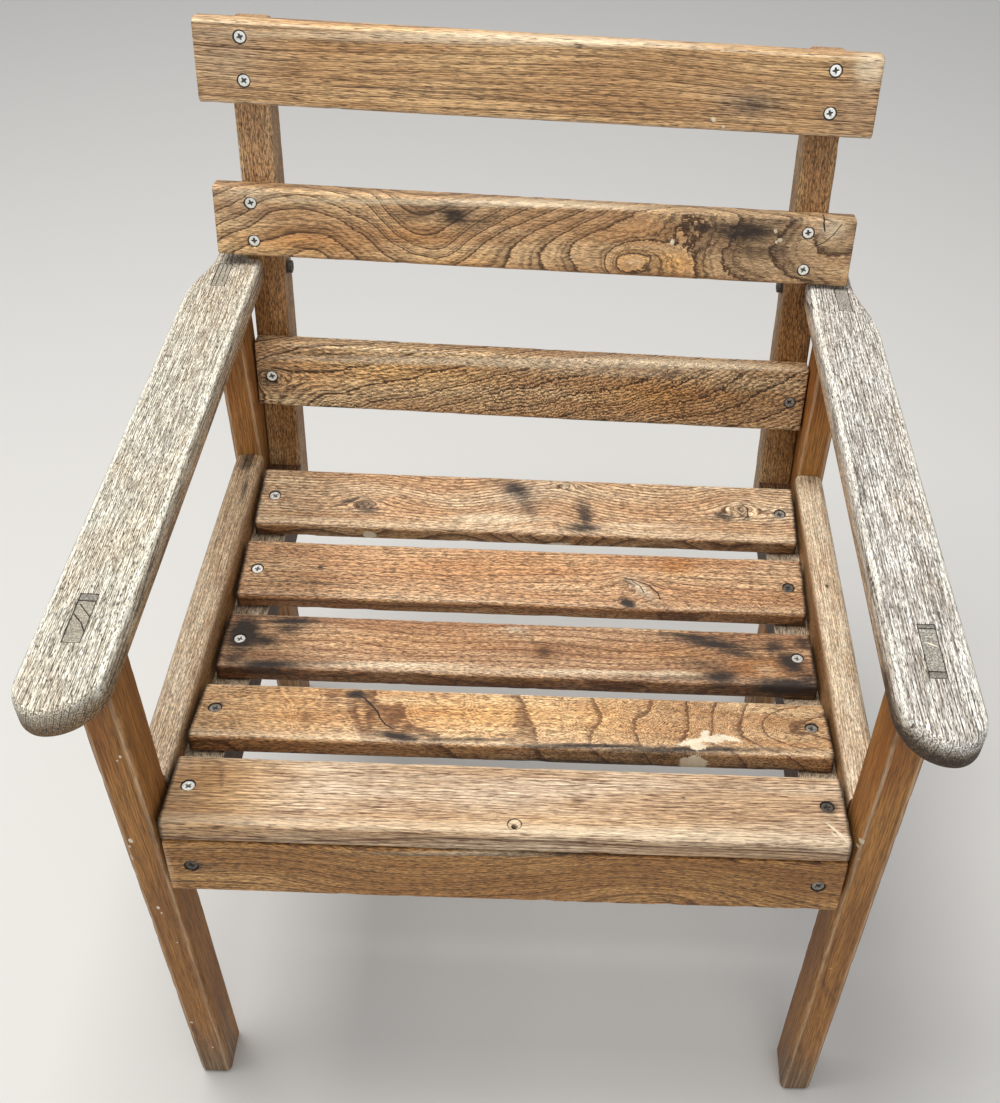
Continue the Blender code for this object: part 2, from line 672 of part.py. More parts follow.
def make_bolt(name, side_name, at, outer_x, *boards):
    """A domed bolt from outside, with its washer and nut on the stile's inner face."""
    side = SIDES[side_name]
    head_seat = outward(side, *at, outer_x + GAP)
    washer_top = outer_x + GAP - UNIT_INNER_X + GAP
    nut_top = washer_top + WASHER_THICKNESS + GAP
    length = nut_top + NUT_HEIGHT + BOLT_END
    dome = [(BOLT_HEAD_RADIUS * math.sin(angle), BOLT_HEAD_HEIGHT * math.cos(angle))
            for angle in (math.pi / 2 * step / BOLT_DOME_STEPS for step in range(BOLT_DOME_STEPS + 1))]
    profile = dome + [(BOLT_RADIUS, 0.0), (BOLT_RADIUS, BOLT_CHAMFER - length),
                      (BOLT_RADIUS - BOLT_CHAMFER, -length), (0.0, -length)]
    bolt = add_piece(f"{name}_bolt_{side_name}", profile_mesh(name, profile), head_seat, "dull_steel")
    turned_piece(bolt, BOLT_STEPS)
    bore = BOLT_RADIUS + GAP
    far_end = -length - HOLE_OVERRUN
    hole_profile = ((0.0, HOLE_OVERRUN), (bore, HOLE_OVERRUN), (bore, far_end), (0.0, far_end))
    hole = add_tool(f"{name}_bolt_hole_{side_name}", profile_mesh(name + "_hole", hole_profile),
                    head_seat)
    turned_piece(hole, BOLT_STEPS)
    ring = ((bore, 0.0), (WASHER_RADIUS, 0.0), (WASHER_RADIUS, -WASHER_THICKNESS),
            (bore, -WASHER_THICKNESS), (bore, 0.0))
    washer = add_piece(f"{name}_washer_{side_name}", profile_mesh(name + "_washer", ring),
                       head_seat @ Matrix.Translation((0.0, 0.0, -washer_top)), "dull_steel")
    turned_piece(washer, BOLT_STEPS)
    nut_mesh = bpy.data.meshes.new(name + "_nut")
    shape = bmesh.new()
    corner = NUT_ACROSS_FLATS / 2 / math.cos(math.pi / 6)
    bmesh.ops.create_cone(shape, cap_ends=True, segments=6, radius1=corner, radius2=corner,
                          depth=NUT_HEIGHT)
    shape.to_mesh(nut_mesh)
    shape.free()
    nut = add_piece(f"{name}_nut_{side_name}", nut_mesh,
                    head_seat @ Matrix.Translation((0.0, 0.0, -nut_top - NUT_HEIGHT / 2)),
                    "dull_steel")
    cut(hole, nut, *boards)
    return bolt


def make_spare_hole(slat, apron):
    """The empty countersunk hole near the front slat's front edge, which runs on into the apron."""
    placing = (seat_placing(0)
               @ Matrix.Translation((SPARE_HOLE_X, SPARE_HOLE_FROM_FRONT - slat_size(0)[0], 0.0)))
    countersink = SPARE_HOLE_MOUTH_RADIUS - SPARE_HOLE_RADIUS
    profile = ((0.0, HOLE_OVERRUN), (SPARE_HOLE_MOUTH_RADIUS, HOLE_OVERRUN),
               (SPARE_HOLE_MOUTH_RADIUS, -SPARE_HOLE_SUNK),
               (SPARE_HOLE_RADIUS, -SPARE_HOLE_SUNK - countersink),
               (SPARE_HOLE_RADIUS, SPARE_HOLE_POINT - SPARE_HOLE_DEPTH), (0.0, -SPARE_HOLE_DEPTH))
    hole = add_tool("spare_hole", profile_mesh("spare_hole", profile), placing)
    turned_piece(hole, SCREW_STEPS)
    cut(hole, slat, apron)


# ---- Assembly ----

slats = [make_seat_slat(index) for index in range(len(SEAT_SLATS))]
back_slats = {name: make_back_slat(name) for name in BACK_SLATS}
apron = make_apron()
make_spare_hole(slats[0], apron)

for side_name, side in SIDES.items():
    front_leg = make_leg(f"front_leg_{side_name}", side, 0.0, FRONT_TENON_Y[side_name])
    rear_leg = make_leg(f"rear_leg_{side_name}", side, REAR_LEG_DEPTH_AT, REAR_TENON_Y)
    arm = make_arm(side_name)
    cut_arm_mortises(arm, side_name)
    rail = make_rail(side_name, (front_leg, rear_leg))
    bearer = make_bearer(side_name)
    stile = make_stile(side_name)
    mortise_name = f"stile_mortise_{side_name}"
    mortise_mesh = outline_mesh(mortise_name, bearer_tenon_outline(GAP),
                                span(BEARER_TENON_X) + 2 * GAP)
    cut(add_tool(mortise_name, mortise_mesh, across(BEARER_TENON_X, side)), stile)

    for index, slat in enumerate(slats):
        placing = seat_placing(index) @ Matrix.Translation(
            (side * SEAT_SCREW_X, -SEAT_SCREW_FROM_BACK, 0.0))
        make_screw(f"seat_screw_{index + 1}_{side_name}", placing, "bright_steel", slat, bearer)

    apron_face = apron_frame() @ Matrix.Translation((side * APRON_SCREW_X, 0.0, -APRON_SCREW_DROP))
    make_screw(f"apron_screw_{side_name}", apron_face @ Matrix.Rotation(math.pi / 2, 4, "X"),
               "dull_steel", apron, bearer)
    inward = outward(-side, *BEARER_SCREW_AT, -UNIT_INNER_X)
    make_screw(f"bearer_screw_{side_name}", inward, "dull_steel", bearer, rail)

    for name, (_, _, _, heights, shift) in BACK_SLATS.items():
        for height, place in zip(heights, ("upper", "lower")):
            suffix = f"_{place}" if len(heights) > 1 else ""
            face = back_placing(height - side * BACK_RACK * math.cos(BACK_RAKE),
                                side * BACK_SCREW_X + shift)
            make_screw(f"back_screw_{name}_{side_name}{suffix}",
                       face @ Matrix.Rotation(math.pi / 2, 4, "X"), "bright_steel",
                       back_slats[name], stile)

    make_bolt("arm", side_name, ARM_BOLT_AT, ARM_REAR_OUTER_X, arm, stile)
    make_bolt("leg", side_name, LEG_BOLT_AT, LEG_INNER_X + LEG_WIDTH, rear_leg, stile)

for wedge_side, wedge_end in WEDGES:
    make_wedge(wedge_side, wedge_end)

for piece in chair.objects:
    if piece.type == "MESH":
        piece.data.shade_smooth()
        piece.data.set_sharp_from_angle(angle=math.radians(30))
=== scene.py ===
"""A weathered slatted garden armchair, dressed board by board round its fixed frame.

Every board is a closed block of ruled lines that is rounded, worn and pierced for its screws. Its growth
rings and fibres are worked out at every point and kept as attributes, which the wood finishes read.
"""
import logging
import math
from dataclasses import dataclass, field, replace
from enum import Enum
from typing import Optional, Sequence

import bpy
import numpy as np
from mathutils import Matrix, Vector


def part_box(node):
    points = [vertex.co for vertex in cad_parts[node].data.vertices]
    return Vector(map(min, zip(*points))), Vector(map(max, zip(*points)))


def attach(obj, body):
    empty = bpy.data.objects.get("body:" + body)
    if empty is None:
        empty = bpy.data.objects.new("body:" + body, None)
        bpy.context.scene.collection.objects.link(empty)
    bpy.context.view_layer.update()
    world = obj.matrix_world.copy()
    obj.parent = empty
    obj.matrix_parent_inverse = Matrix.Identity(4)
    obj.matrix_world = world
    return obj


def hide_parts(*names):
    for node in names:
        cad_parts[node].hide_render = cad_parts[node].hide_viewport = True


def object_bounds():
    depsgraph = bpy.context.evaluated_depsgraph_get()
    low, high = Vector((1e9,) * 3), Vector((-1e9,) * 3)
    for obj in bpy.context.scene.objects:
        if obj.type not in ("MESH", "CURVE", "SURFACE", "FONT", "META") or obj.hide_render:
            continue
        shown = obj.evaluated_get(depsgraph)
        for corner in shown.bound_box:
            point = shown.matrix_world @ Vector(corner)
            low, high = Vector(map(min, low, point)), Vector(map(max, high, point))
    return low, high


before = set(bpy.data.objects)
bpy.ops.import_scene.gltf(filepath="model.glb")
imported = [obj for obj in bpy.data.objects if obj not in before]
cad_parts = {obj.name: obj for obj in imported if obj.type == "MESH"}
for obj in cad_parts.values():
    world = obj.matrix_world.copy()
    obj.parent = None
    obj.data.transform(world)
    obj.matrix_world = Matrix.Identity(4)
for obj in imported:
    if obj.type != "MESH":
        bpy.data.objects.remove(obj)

logging.basicConfig(level=logging.INFO, format="%(message)s")
log = logging.getLogger("armchair")

CAD_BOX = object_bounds()
MM = 0.001
GAP = 0.3 * MM
BODY = "root"
SIDES = {"left": -1.0, "right": 1.0}

Array = np.ndarray
Pair = tuple[float, float]
Vector3 = tuple[float, float, float]
Colour = tuple[float, float, float]


# ---- numbers

def srgb(red: float, green: float, blue: float) -> Colour:
    """Linear colour of a screen colour.

    Args:
        red: red, from 0 to 255.
        green: green, from 0 to 255.
        blue: blue, from 0 to 255.

    Returns:
        The three linear parts, from 0 to 1.
    """
    shares = np.array((red, green, blue)) / 255.0
    linear = np.where(shares <= 0.04045, shares / 12.92, ((shares + 0.055) / 1.055) ** 2.4)
    return tuple(float(value) for value in linear)


def smooth(low: float, high: float, values: Array) -> Array:
    """Smooth step from 0 at low to 1 at high."""
    share = np.clip((values - low) / (high - low), 0.0, 1.0)
    return share * share * (3.0 - 2.0 * share)


def waves(points: Array, seed: int, lengths: Sequence[float], count: int = 10) -> Array:
    """Slow irregular waves, as a sum of cosines whose directions and phases follow the seed.

    Args:
        points: positions, one row each.
        seed: seed of the directions and phases.
        lengths: shortest wavelength along each axis.
        count: number of cosines.

    Returns:
        One value per point, mostly between -1 and 1.
    """
    draw = np.random.default_rng(seed)
    turns = draw.normal(0.0, 0.55, (count, len(lengths))) / np.array(lengths)
    phases = draw.uniform(0.0, 2.0 * math.pi, count)
    total = np.cos(2.0 * math.pi * (points[:, :len(lengths)] @ turns.T) + phases).sum(axis=1)
    return total / math.sqrt(count)


def ruled_lines(low: float, high: float, pitch: float, rim: float = 0.0, arcs: int = 5,
                fine: Sequence[tuple[float, float, float]] = ()) -> Array:
    """Positions of the lines that rule a block one way.

    Args:
        low: first face.
        high: last face.
        pitch: distance between lines.
        rim: width of the rounded rim at both ends, ruled so that the lines cut it in equal arcs.
        arcs: number of arcs over each rim.
        fine: stretches of closer lines, as (middle, reach, pitch).

    Returns:
        Rising positions from low to high.
    """
    samples = np.linspace(low + rim, high - rim, 6001)
    spacing = np.full(samples.size, pitch)
    for middle, reach, close in fine:
        inside = np.abs(samples - middle) < reach
        spacing[inside] = np.minimum(spacing[inside], close)
    density = 1.0 / spacing
    count = np.concatenate(([0.0], np.cumsum((density[1:] + density[:-1]) / 2 * np.diff(samples))))
    steps = max(1, int(round(count[-1])))
    inner = np.interp(np.linspace(0.0, count[-1], steps + 1), count, samples)
    if not rim:
        return inner
    angles = np.linspace(math.pi / 4, 0.0, arcs, endpoint=False)
    offsets = rim * (1.0 - np.tan(angles))
    return np.concatenate((low + offsets, inner, (high - offsets)[::-1]))


def block_surface(xs: Array, ys: Array, zs: Array) -> tuple[Array, Array]:
    """Closed surface of a block that is ruled at the given lines.

    Args:
        xs: line positions along x.
        ys: line positions along y.
        zs: line positions along z.

    Returns:
        Points, and quads of point numbers that face outwards.
    """
    shape = (xs.size, ys.size, zs.size)
    grid = np.indices(shape)
    outer = np.zeros(shape, bool)
    for axis, size in enumerate(shape):
        outer |= (grid[axis] == 0) | (grid[axis] == size - 1)
    number = np.full(shape, -1)
    number[outer] = np.arange(int(outer.sum()))
    points = np.stack((xs[grid[0][outer]], ys[grid[1][outer]], zs[grid[2][outer]]), axis=1)
    quads = []
    for axis in range(3):
        for end, flip in ((0, True), (-1, False)):
            sheet = np.take(number, end, axis=axis)
            if axis == 1:
                flip = not flip
            ring = (sheet[:-1, :-1], sheet[1:, :-1], sheet[1:, 1:], sheet[:-1, 1:])
            quad = np.stack([part.ravel() for part in ring], axis=1)
            quads.append(quad[:, ::-1] if flip else quad)
    return points, np.concatenate(quads)


def drawn_round(offsets: Array, reach: Array) -> Array:
    """Turn a square zone into a round one: each offset keeps its direction, and its longer share of the
    zone's reach becomes its distance.

    Args:
        offsets: offsets from the zone's core, in two directions.
        reach: the zone's size in each direction.

    Returns:
        New offsets.
    """
    shares = offsets / reach
    length = np.linalg.norm(shares, axis=1)
    longest = np.abs(shares).max(axis=1)
    scale = np.divide(longest, length, out=np.ones_like(length), where=length > 1e-12)
    return offsets * scale[:, None]


@dataclass(frozen=True)
class Placing:
    """Where a piece's own axes lie in the chair."""

    origin: Vector3
    along: Vector3
    across: Vector3
    out: Vector3

    def axes(self) -> Array:
        """The three axes as rows."""
        return np.array((self.along, self.across, self.out))

    def to_chair(self, points: Array) -> Array:
        """Own positions to the chair's."""
        return points @ self.axes() + np.array(self.origin)

    def to_own(self, points: Array) -> Array:
        """The chair's positions to the piece's own."""
        return (points - np.array(self.origin)) @ self.axes().T


def middle_of(node: str) -> Array:
    """Middle of a frame piece's box."""
    low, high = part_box(node)
    return (np.array(low) + np.array(high)) / 2


# ---- grain and marks

@dataclass(frozen=True)
class Bend:
    """A stretch where the fibres rise, or sink, across the board. All sizes are in millimetres."""

    x: float
    y: float
    reach_x: float
    reach_y: float
    lift: float


@dataclass(frozen=True)
class RingPath:
    """A growth ring as a face shows it: its number, and points along it in millimetres."""

    number: float
    path: tuple[Pair, ...]


def ring_paths(*rows: tuple[object, ...]) -> tuple[RingPath, ...]:
    """Ring paths, each row giving a ring's number and then its points."""
    return tuple(RingPath(number, tuple(path)) for number, *path in rows)


def plate_terms(places: Array, given: Array) -> Array:
    """Terms whose weighted sum is a thin plate's height: r * r * log(r) about each given point, and a plane.

    Args:
        places: positions at which the terms are wanted.
        given: the points that hold the plate.

    Returns:
        One row for each place, one column for each given point and three for the plane.
    """
    square = ((places[:, None] - given[None]) ** 2).sum(axis=2)
    plane = np.column_stack((np.ones(len(places)), places))
    return np.concatenate((square * np.log(square + 1e-12), plane), axis=1)


def spread_rings(paths: Sequence[RingPath], points: Array) -> Array:
    """Ring numbers over a face, as the thin plate that bends least near all the paths' points.

    Args:
        paths: the rings whose places are given.
        points: positions in the board's own axes.

    Returns:
        A ring number for each point.
    """
    unit, slack = 100.0 * MM, 0.004
    given = np.array([place for path in paths for place in path.path]) * MM / unit
    numbers = np.array([path.number for path in paths for _ in path.path])
    count = len(given)
    system = np.zeros((count + 3, count + 3))
    system[:count] = plate_terms(given, given)
    system[:count, :count] += slack * np.eye(count)
    system[count:, :count] = system[:count, count:].T
    weights = np.linalg.solve(system, np.concatenate((numbers, np.zeros(3))))
    return plate_terms(points[:, :2] / unit, given) @ weights


@dataclass(frozen=True)
class Knot:
    """A knot: an oval of tight rings that the fibres run round."""

    x: float
    y: float
    size_x: float
    size_y: float
    turn: float = 0.0
    darkness: float = 1.0


def oval_distance(points: Array, x: float, y: float, reach_x: float, reach_y: float,
                  turn: float) -> Array:
    """Distance from an oval's middle, where 1 is its rim.

    Args:
        points: positions in metres.
        x: the oval's middle along the board, in millimetres.
        y: the oval's middle across the board, in millimetres.
        reach_x: half its length in millimetres.
        reach_y: half its width in millimetres.
        turn: its turn in degrees.

    Returns:
        One distance for each point.
    """
    dx, dy = points[:, 0] - x * MM, points[:, 1] - y * MM
    angle = math.radians(turn)
    own_x = dx * math.cos(angle) + dy * math.sin(angle)
    own_y = dy * math.cos(angle) - dx * math.sin(angle)
    return np.hypot(own_x / (reach_x * MM), own_y / (reach_y * MM))


@dataclass(frozen=True)
class Grain:
    """How a board was cut from its log. Sizes are in millimetres and slopes are shares."""

    seed: int
    pith_y: float = 300.0
    pith_z: float = -60.0
    slope_y: float = 0.0
    slope_z: float = 0.0
    ring: float = 6.0
    sway: float = 0.6
    sway_length: float = 220.0
    bends: tuple[Bend, ...] = ()
    knots: tuple[Knot, ...] = ()
    paths: tuple[RingPath, ...] = ()

    def read(self, points: Array) -> tuple[Array, Array, Array]:
        """Work out the wood at each point.

        A fibre keeps its offset across the board, except that it bends, and runs round knots as a stream runs
        round a post. A ring's number is the distance from the pith line over the ring's width, or follows the
        ring paths where there are any.

        Args:
            points: positions in the board's own axes.

        Returns:
            Fibre positions, ring numbers and shares of knot wood.
        """
        across = points[:, 1].copy()
        for bend in self.bends:
            far = oval_distance(points, bend.x, bend.y, bend.reach_x, bend.reach_y, 0.0)
            across -= bend.lift * MM * np.exp(-far ** 2)
        knot_share = np.zeros(len(points))
        ring_knots = np.zeros(len(points))
        for knot in self.knots:
            far = oval_distance(points, knot.x, knot.y, knot.size_x, knot.size_y, knot.turn)
            wide = oval_distance(points, knot.x, knot.y, 2.4 * knot.size_y, knot.size_y, 0.0)
            dy = points[:, 1] - knot.y * MM
            across -= dy * 0.95 / (0.55 + wide ** 2)
            knot_share = np.maximum(knot_share, knot.darkness * (1.0 - smooth(0.55, 1.15, far)))
            ring_knots += 2.2 * np.exp(-1.1 * far)
        sway = waves(points, self.seed, (self.sway_length * MM, 45.0 * MM, 60.0 * MM))
        pith_y = (self.pith_y * MM + self.slope_y * points[:, 0])
        pith_z = (self.pith_z * MM + self.slope_z * points[:, 0])
        if self.paths:
            rings = spread_rings(self.paths, points) + points[:, 2] / (self.ring * MM)
        else:
            rings = np.hypot(across - pith_y, points[:, 2] - pith_z) / (self.ring * MM)
        rings += self.sway * sway + ring_knots
        fibre = np.stack((points[:, 0], across, points[:, 2]), axis=1)
        return fibre, rings, knot_share


class MarkKind(Enum):
    """What a mark on the wood is, and the attribute and channel that carry it."""

    # The stain mark carries real stains and also painted shade; the wear mark carries real wear and also
    # painted highlights.
    STAIN_AND_SHADE = ("marks", 0)
    WEAR_AND_HIGHLIGHT = ("marks", 1)
    PAINT = ("marks", 2)
    GREY = ("figure", 2)
    DEEP = ("tone", 0)
    GOLD = ("tone", 1)
    RIPPLE = ("tone", 2)


STAIN_AND_SHADE, WEAR_AND_HIGHLIGHT, PAINT, GREY, DEEP, GOLD, RIPPLE = MarkKind


@dataclass(frozen=True)
class Mark:
    """A mark on a board's face: an oval in millimetres that is soft or, with a high edge, sharp."""

    kind: MarkKind
    x: float
    y: float
    reach_x: float
    reach_y: float
    strength: float = 1.0
    turn: float = 0.0
    edge: float = 2.0
    z: Optional[float] = None

    def cover(self, points: Array, half: float) -> Array:
        """Share of the mark at each point. A mark without a height lies on the face and fades down the sides.

        Args:
            points: positions in the board's own axes.
            half: half the board's thickness.

        Returns:
            One share for each point.
        """
        far = oval_distance(points, self.x, self.y, self.reach_x, self.reach_y, self.turn)
        if self.z is None:
            fade = np.clip(0.75 + points[:, 2] / half, 0.0, 1.0)
        else:
            far = np.hypot(far, (points[:, 2] / MM - self.z) / self.reach_y)
            fade = 1.0
        return self.strength * np.exp(-far ** self.edge) * fade


def marks(kind: MarkKind, *rows: tuple[float, ...], edge: float = 2.0) -> tuple[Mark, ...]:
    """Marks of one kind, each row giving x, y, reach x, reach y, strength, turn and, on a side, height."""
    return tuple(Mark(kind, *row[:6], edge, *row[6:]) for row in rows)


@dataclass(frozen=True)
class Crack:
    """A split in a board's face along straight pieces between points in millimetres."""

    path: tuple[Pair, ...]
    width: float = 0.7
    depth: float = 0.8

    def distance(self, points: Array) -> Array:
        """Distance from the split, as the least distance from its straight pieces.

        Args:
            points: positions in the board's own axes.

        Returns:
            One distance for each point.
        """
        best = np.full(len(points), 1.0)
        for start, end in zip(self.path[:-1], self.path[1:]):
            a, b = np.array(start) * MM, np.array(end) * MM
            share = np.clip((points[:, :2] - a) @ (b - a) / ((b - a) @ (b - a)), 0.0, 1.0)
            best = np.minimum(best, np.linalg.norm(points[:, :2] - (a + share[:, None] * (b - a)), axis=1))
        return best

    def opening(self, points: Array, core: float = 0.3) -> Array:
        """How open the split is at each point, which is fully so within the core's share of its width."""
        return 1.0 - smooth(core, 1.0, self.distance(points) / (self.width * MM))


# ---- finishes

Socket = bpy.types.NodeSocket


class Graph:
    """Writes the nodes of one material."""

    def __init__(self, name: str) -> None:
        """Start a material that holds one Principled shader.

        Args:
            name: the material's name.
        """
        self.material = bpy.data.materials.new(name)
        self.material.use_nodes = True
        self.tree = self.material.node_tree
        self.shader = self.tree.nodes["Principled BSDF"]

    def put(self, target: Socket, value: object) -> None:
        """Set a socket to a number or colour, or link it to another socket.

        Args:
            target: the socket to set.
            value: a number, a colour, or the socket that feeds it.
        """
        if isinstance(value, bpy.types.NodeSocket):
            self.tree.links.new(value, target)
        elif isinstance(value, tuple) and len(value) == 3 and target.type == "RGBA":
            target.default_value = (*value, 1.0)
        else:
            target.default_value = value

    def node(self, kind: str, inputs: dict[object, object], **settings: object) -> bpy.types.Node:
        """Add a node.

        Args:
            kind: its type's name after "ShaderNode".
            inputs: what some of its inputs take, by their numbers or names.
            settings: its own settings.

        Returns:
            The node.
        """
        node = self.tree.nodes.new("ShaderNode" + kind)
        for key, value in settings.items():
            setattr(node, key, value)
        for key, value in inputs.items():
            self.put(node.inputs[key], value)
        return node

    def maths(self, operation: str, first: object, second: object = 0.0, clamp: bool = False) -> Socket:
        """One arithmetic step, whose result may be clamped between 0 and 1."""
        return self.node("Math", {0: first, 1: second}, operation=operation, use_clamp=clamp).outputs[0]

    def times(self, first: object, second: object, clamp: bool = False) -> Socket:
        """One number times another."""
        return self.maths("MULTIPLY", first, second, clamp)

    def plus(self, first: object, second: object) -> Socket:
        """One number plus another."""
        return self.maths("ADD", first, second)

    def less(self, first: object, second: object, clamp: bool = False) -> Socket:
        """One number less another."""
        return self.maths("SUBTRACT", first, second, clamp)

    def blend(self, share: object, first: object, second: object, mode: str = "MIX") -> Socket:
        """Mix two colours, by the share of the second one."""
        inputs = {0: share, 6: first, 7: second}
        return self.node("Mix", inputs, data_type="RGBA", blend_type=mode).outputs[2]

    def step(self, value: object, low: float, high: float, bottom: float = 0.0, top: float = 1.0) -> Socket:
        """Smooth step from the bottom to the top while a value goes from low to high."""
        inputs = dict(enumerate((value, low, high, bottom, top)))
        return self.node("MapRange", inputs, interpolation_type="SMOOTHSTEP").outputs[0]

    def attribute(self, name: str) -> Sequence[Socket]:
        """The three channels of an attribute."""
        node = self.node("Attribute", {}, attribute_name=name)
        return self.node("SeparateXYZ", {0: node.outputs["Vector"]}).outputs

    def vector(self, x: object, y: object, z: object) -> Socket:
        """A vector from three numbers."""
        return self.node("CombineXYZ", {0: x, 1: y, 2: z}).outputs[0]

    def scaled(self, parts: Sequence[Socket], scales: Vector3, shift: float = 0.0) -> Socket:
        """A vector whose parts are shifted and scaled."""
        return self.vector(*(self.times(self.plus(part, shift), scale) for part, scale in zip(parts, scales)))

    def noise(self, vector: Socket, scale: float = 1.0, detail: float = 2.0, roughness: float = 0.5) -> Socket:
        """Noise at a position."""
        inputs = {"Vector": vector, "Scale": scale, "Detail": detail, "Roughness": roughness}
        return self.node("TexNoise", inputs).outputs["Fac"]

    def bump(self, height: Socket, distance: float, strength: float) -> Socket:
        """A normal that follows a height, which stands for a distance in metres."""
        return self.node("Bump", {"Strength": strength, "Distance": distance, "Height": height}).outputs[0]


GOLD_TINT = (1.12, 0.92, 0.62)
DEEP_TINT = (0.46, 0.34, 0.19)
CLEAN_PAINT, DIRTY_PAINT = srgb(236, 224, 200), srgb(198, 180, 150)
# Near black for the steel's low places: grime, and painted shade in the recesses.
GRIME_AND_SHADE = srgb(24, 19, 15)


@dataclass(frozen=True)
class Wood:
    """A weathered wood finish. Its colours are linear, and its lengths are in millimetres."""

    name: str
    slot: str
    light: Colour
    middle: Colour
    dark: Colour
    grey: Colour = srgb(196, 186, 168)
    grey_low: Colour = srgb(142, 130, 112)
    greying: float = 0.62
    worn: Colour = srgb(244, 226, 190)
    stain_and_shade: Colour = srgb(44, 34, 28)
    knot: Colour = srgb(84, 60, 42)
    ring_line: float = 0.7
    ring_width: float = 0.5
    ring_edge: float = 0.22
    ring_fine: float = 0.45
    fine_count: float = 4.0
    pores: float = 0.8
    pore_length: float = 8.5
    pore_width: float = 0.62
    streaks: float = 0.7
    hairs: float = 0.45
    dashes: float = 0.0
    gather: float = 0.0
    mottle: float = 0.5
    grain_length: float = 4.6
    grain_width: float = 0.85
    ridge: Pair = (0.4, 0.62)
    ripple_size: float = 4.2
    ripple_turns: float = 0.9
    roughness: float = 0.6
    relief: float = 0.3
    seed: float = 0.0

    def material(self) -> bpy.types.Material:
        """Build the finish, once for each name.

        Pores are short dark dashes along the fibres, streaks are longer and softer ones, hairs are long thin
        lines, and rings are dark lines where the ring number passes a whole one. Stains, wear, paint and
        greying come from marks, and so do painted shade, which darkens like a stain or a deeper tone, and
        painted highlights, which lighten like wear.

        Returns:
            The material.
        """
        found = bpy.data.materials.get(self.name)
        if found:
            return found
        g = Graph(self.name)
        u, v, w = g.attribute("fibre")
        ring, knot, grey = g.attribute("figure")
        stain_and_shade, wear, paint = g.attribute("marks")
        deep, gold, ripple = g.attribute("tone")
        # the noises, drawn out along the fibres
        along, across, waver, long, thin = (1.0 / (length * MM) for length in (
            self.pore_length, self.pore_width, self.ripple_size, self.grain_length, self.grain_width))
        curl = g.noise(g.scaled((u, v, w), (waver, waver * 0.7, waver), self.seed + 9.0), detail=1.0)
        curl = g.times(g.less(curl, 0.5), ripple)
        fibre = (u, g.plus(v, g.times(curl, self.ripple_size * MM * 2.2)), w)
        pore_noise = g.noise(g.scaled(fibre, (along, across, across), self.seed + 1.0), detail=1.5,
                             roughness=0.55)
        streak_noise = g.noise(g.scaled(fibre, (along * 0.2, across * 0.6, across * 0.6), self.seed + 2.0),
                               detail=4.0, roughness=0.62)
        grain_noise = g.noise(g.scaled(fibre, (long, thin, thin), self.seed + 5.0), roughness=0.7)
        tone_noise = g.noise(g.scaled(fibre, (6.0, 48.0, 48.0), self.seed + 3.0), detail=3.0)
        patch_noise = g.noise(g.scaled(fibre, (14.0, 26.0, 26.0), self.seed + 4.0), detail=4.0,
                              roughness=0.65)
        blot_noise = g.noise(g.scaled(fibre, (150.0, 210.0, 210.0), self.seed + 7.0), detail=4.0,
                             roughness=0.7)
        hair_noise = g.noise(g.scaled(fibre, (5.0, 140.0, 140.0), self.seed + 6.0), roughness=0.55)
        # the lines: hairs, growth rings with their gaps, and the finer rings between them
        hair_saw = g.maths("FRACT", g.times(hair_noise, 10.0))
        hair = g.times(g.step(hair_saw, 0.45, 0.86), g.step(hair_saw, 1.0, 0.9))
        hair = g.times(hair, g.step(grain_noise, 0.34, 0.58))
        rough_ring = g.plus(g.plus(ring, g.times(streak_noise, 0.3)),
                            g.times(curl, self.ripple_turns / self.fine_count * 2.0))
        saw = g.maths("FRACT", rough_ring)
        band = g.times(g.step(saw, 1.0 - self.ring_width, 0.97), 0.45)
        line = g.plus(band, g.times(g.step(saw, 0.97 - self.ring_edge, 0.95), 0.55))
        line = g.times(line, g.step(saw, 1.0, 0.97))
        row = g.vector(g.times(u, along), g.times(g.maths("FLOOR", rough_ring), 7.3), 0.5)
        line = g.times(line, g.step(g.noise(row, detail=1.0), 0.44, 0.54, 1.0 - self.dashes, 1.0))
        fine_saw = g.maths("FRACT", g.times(rough_ring, self.fine_count))
        fine = g.times(g.step(fine_saw, 0.25, 0.8), g.step(fine_saw, 1.0, 0.85))
        broken = g.maths("MAXIMUM", g.step(streak_noise, 0.35, 0.6), ripple, clamp=True)
        # the wood's own colour, gilded, specked and greyed, and then the lines over it
        colour = g.blend(g.step(tone_noise, 0.34, 0.64), self.light, self.middle)
        colour = g.blend(g.times(g.step(streak_noise, 0.38, 0.64), self.streaks), colour, self.middle)
        colour = g.blend(gold, colour, g.blend(1.0, colour, GOLD_TINT, "MULTIPLY"))
        colour = g.blend(g.times(g.step(grain_noise, 0.5, 0.66), self.streaks * 0.6), colour, self.dark)
        ridges = g.blend(g.step(streak_noise, *self.ridge), self.grey, self.grey_low)
        colour = g.blend(g.times(grey, g.step(patch_noise, 0.2, 0.7, 0.7, 1.0), clamp=True), colour,
                         g.blend(self.greying, colour, ridges))
        fines = g.times(g.times(fine, broken), self.ring_fine)
        fines = g.times(fines, g.step(saw, 0.25, 0.6, 1.0 - self.gather, 1.0))
        colour = g.blend(fines, colour, self.dark)
        smoothed = g.less(1.0, ripple, clamp=True)
        colour = g.blend(g.times(g.times(hair, smoothed), self.hairs), colour, self.dark)
        knotty = g.plus(self.ring_line, g.times(knot, 0.3))
        colour = g.blend(g.times(line, knotty, clamp=True), colour, self.dark)
        colour = g.blend(g.times(knot, 0.75), colour, self.knot)
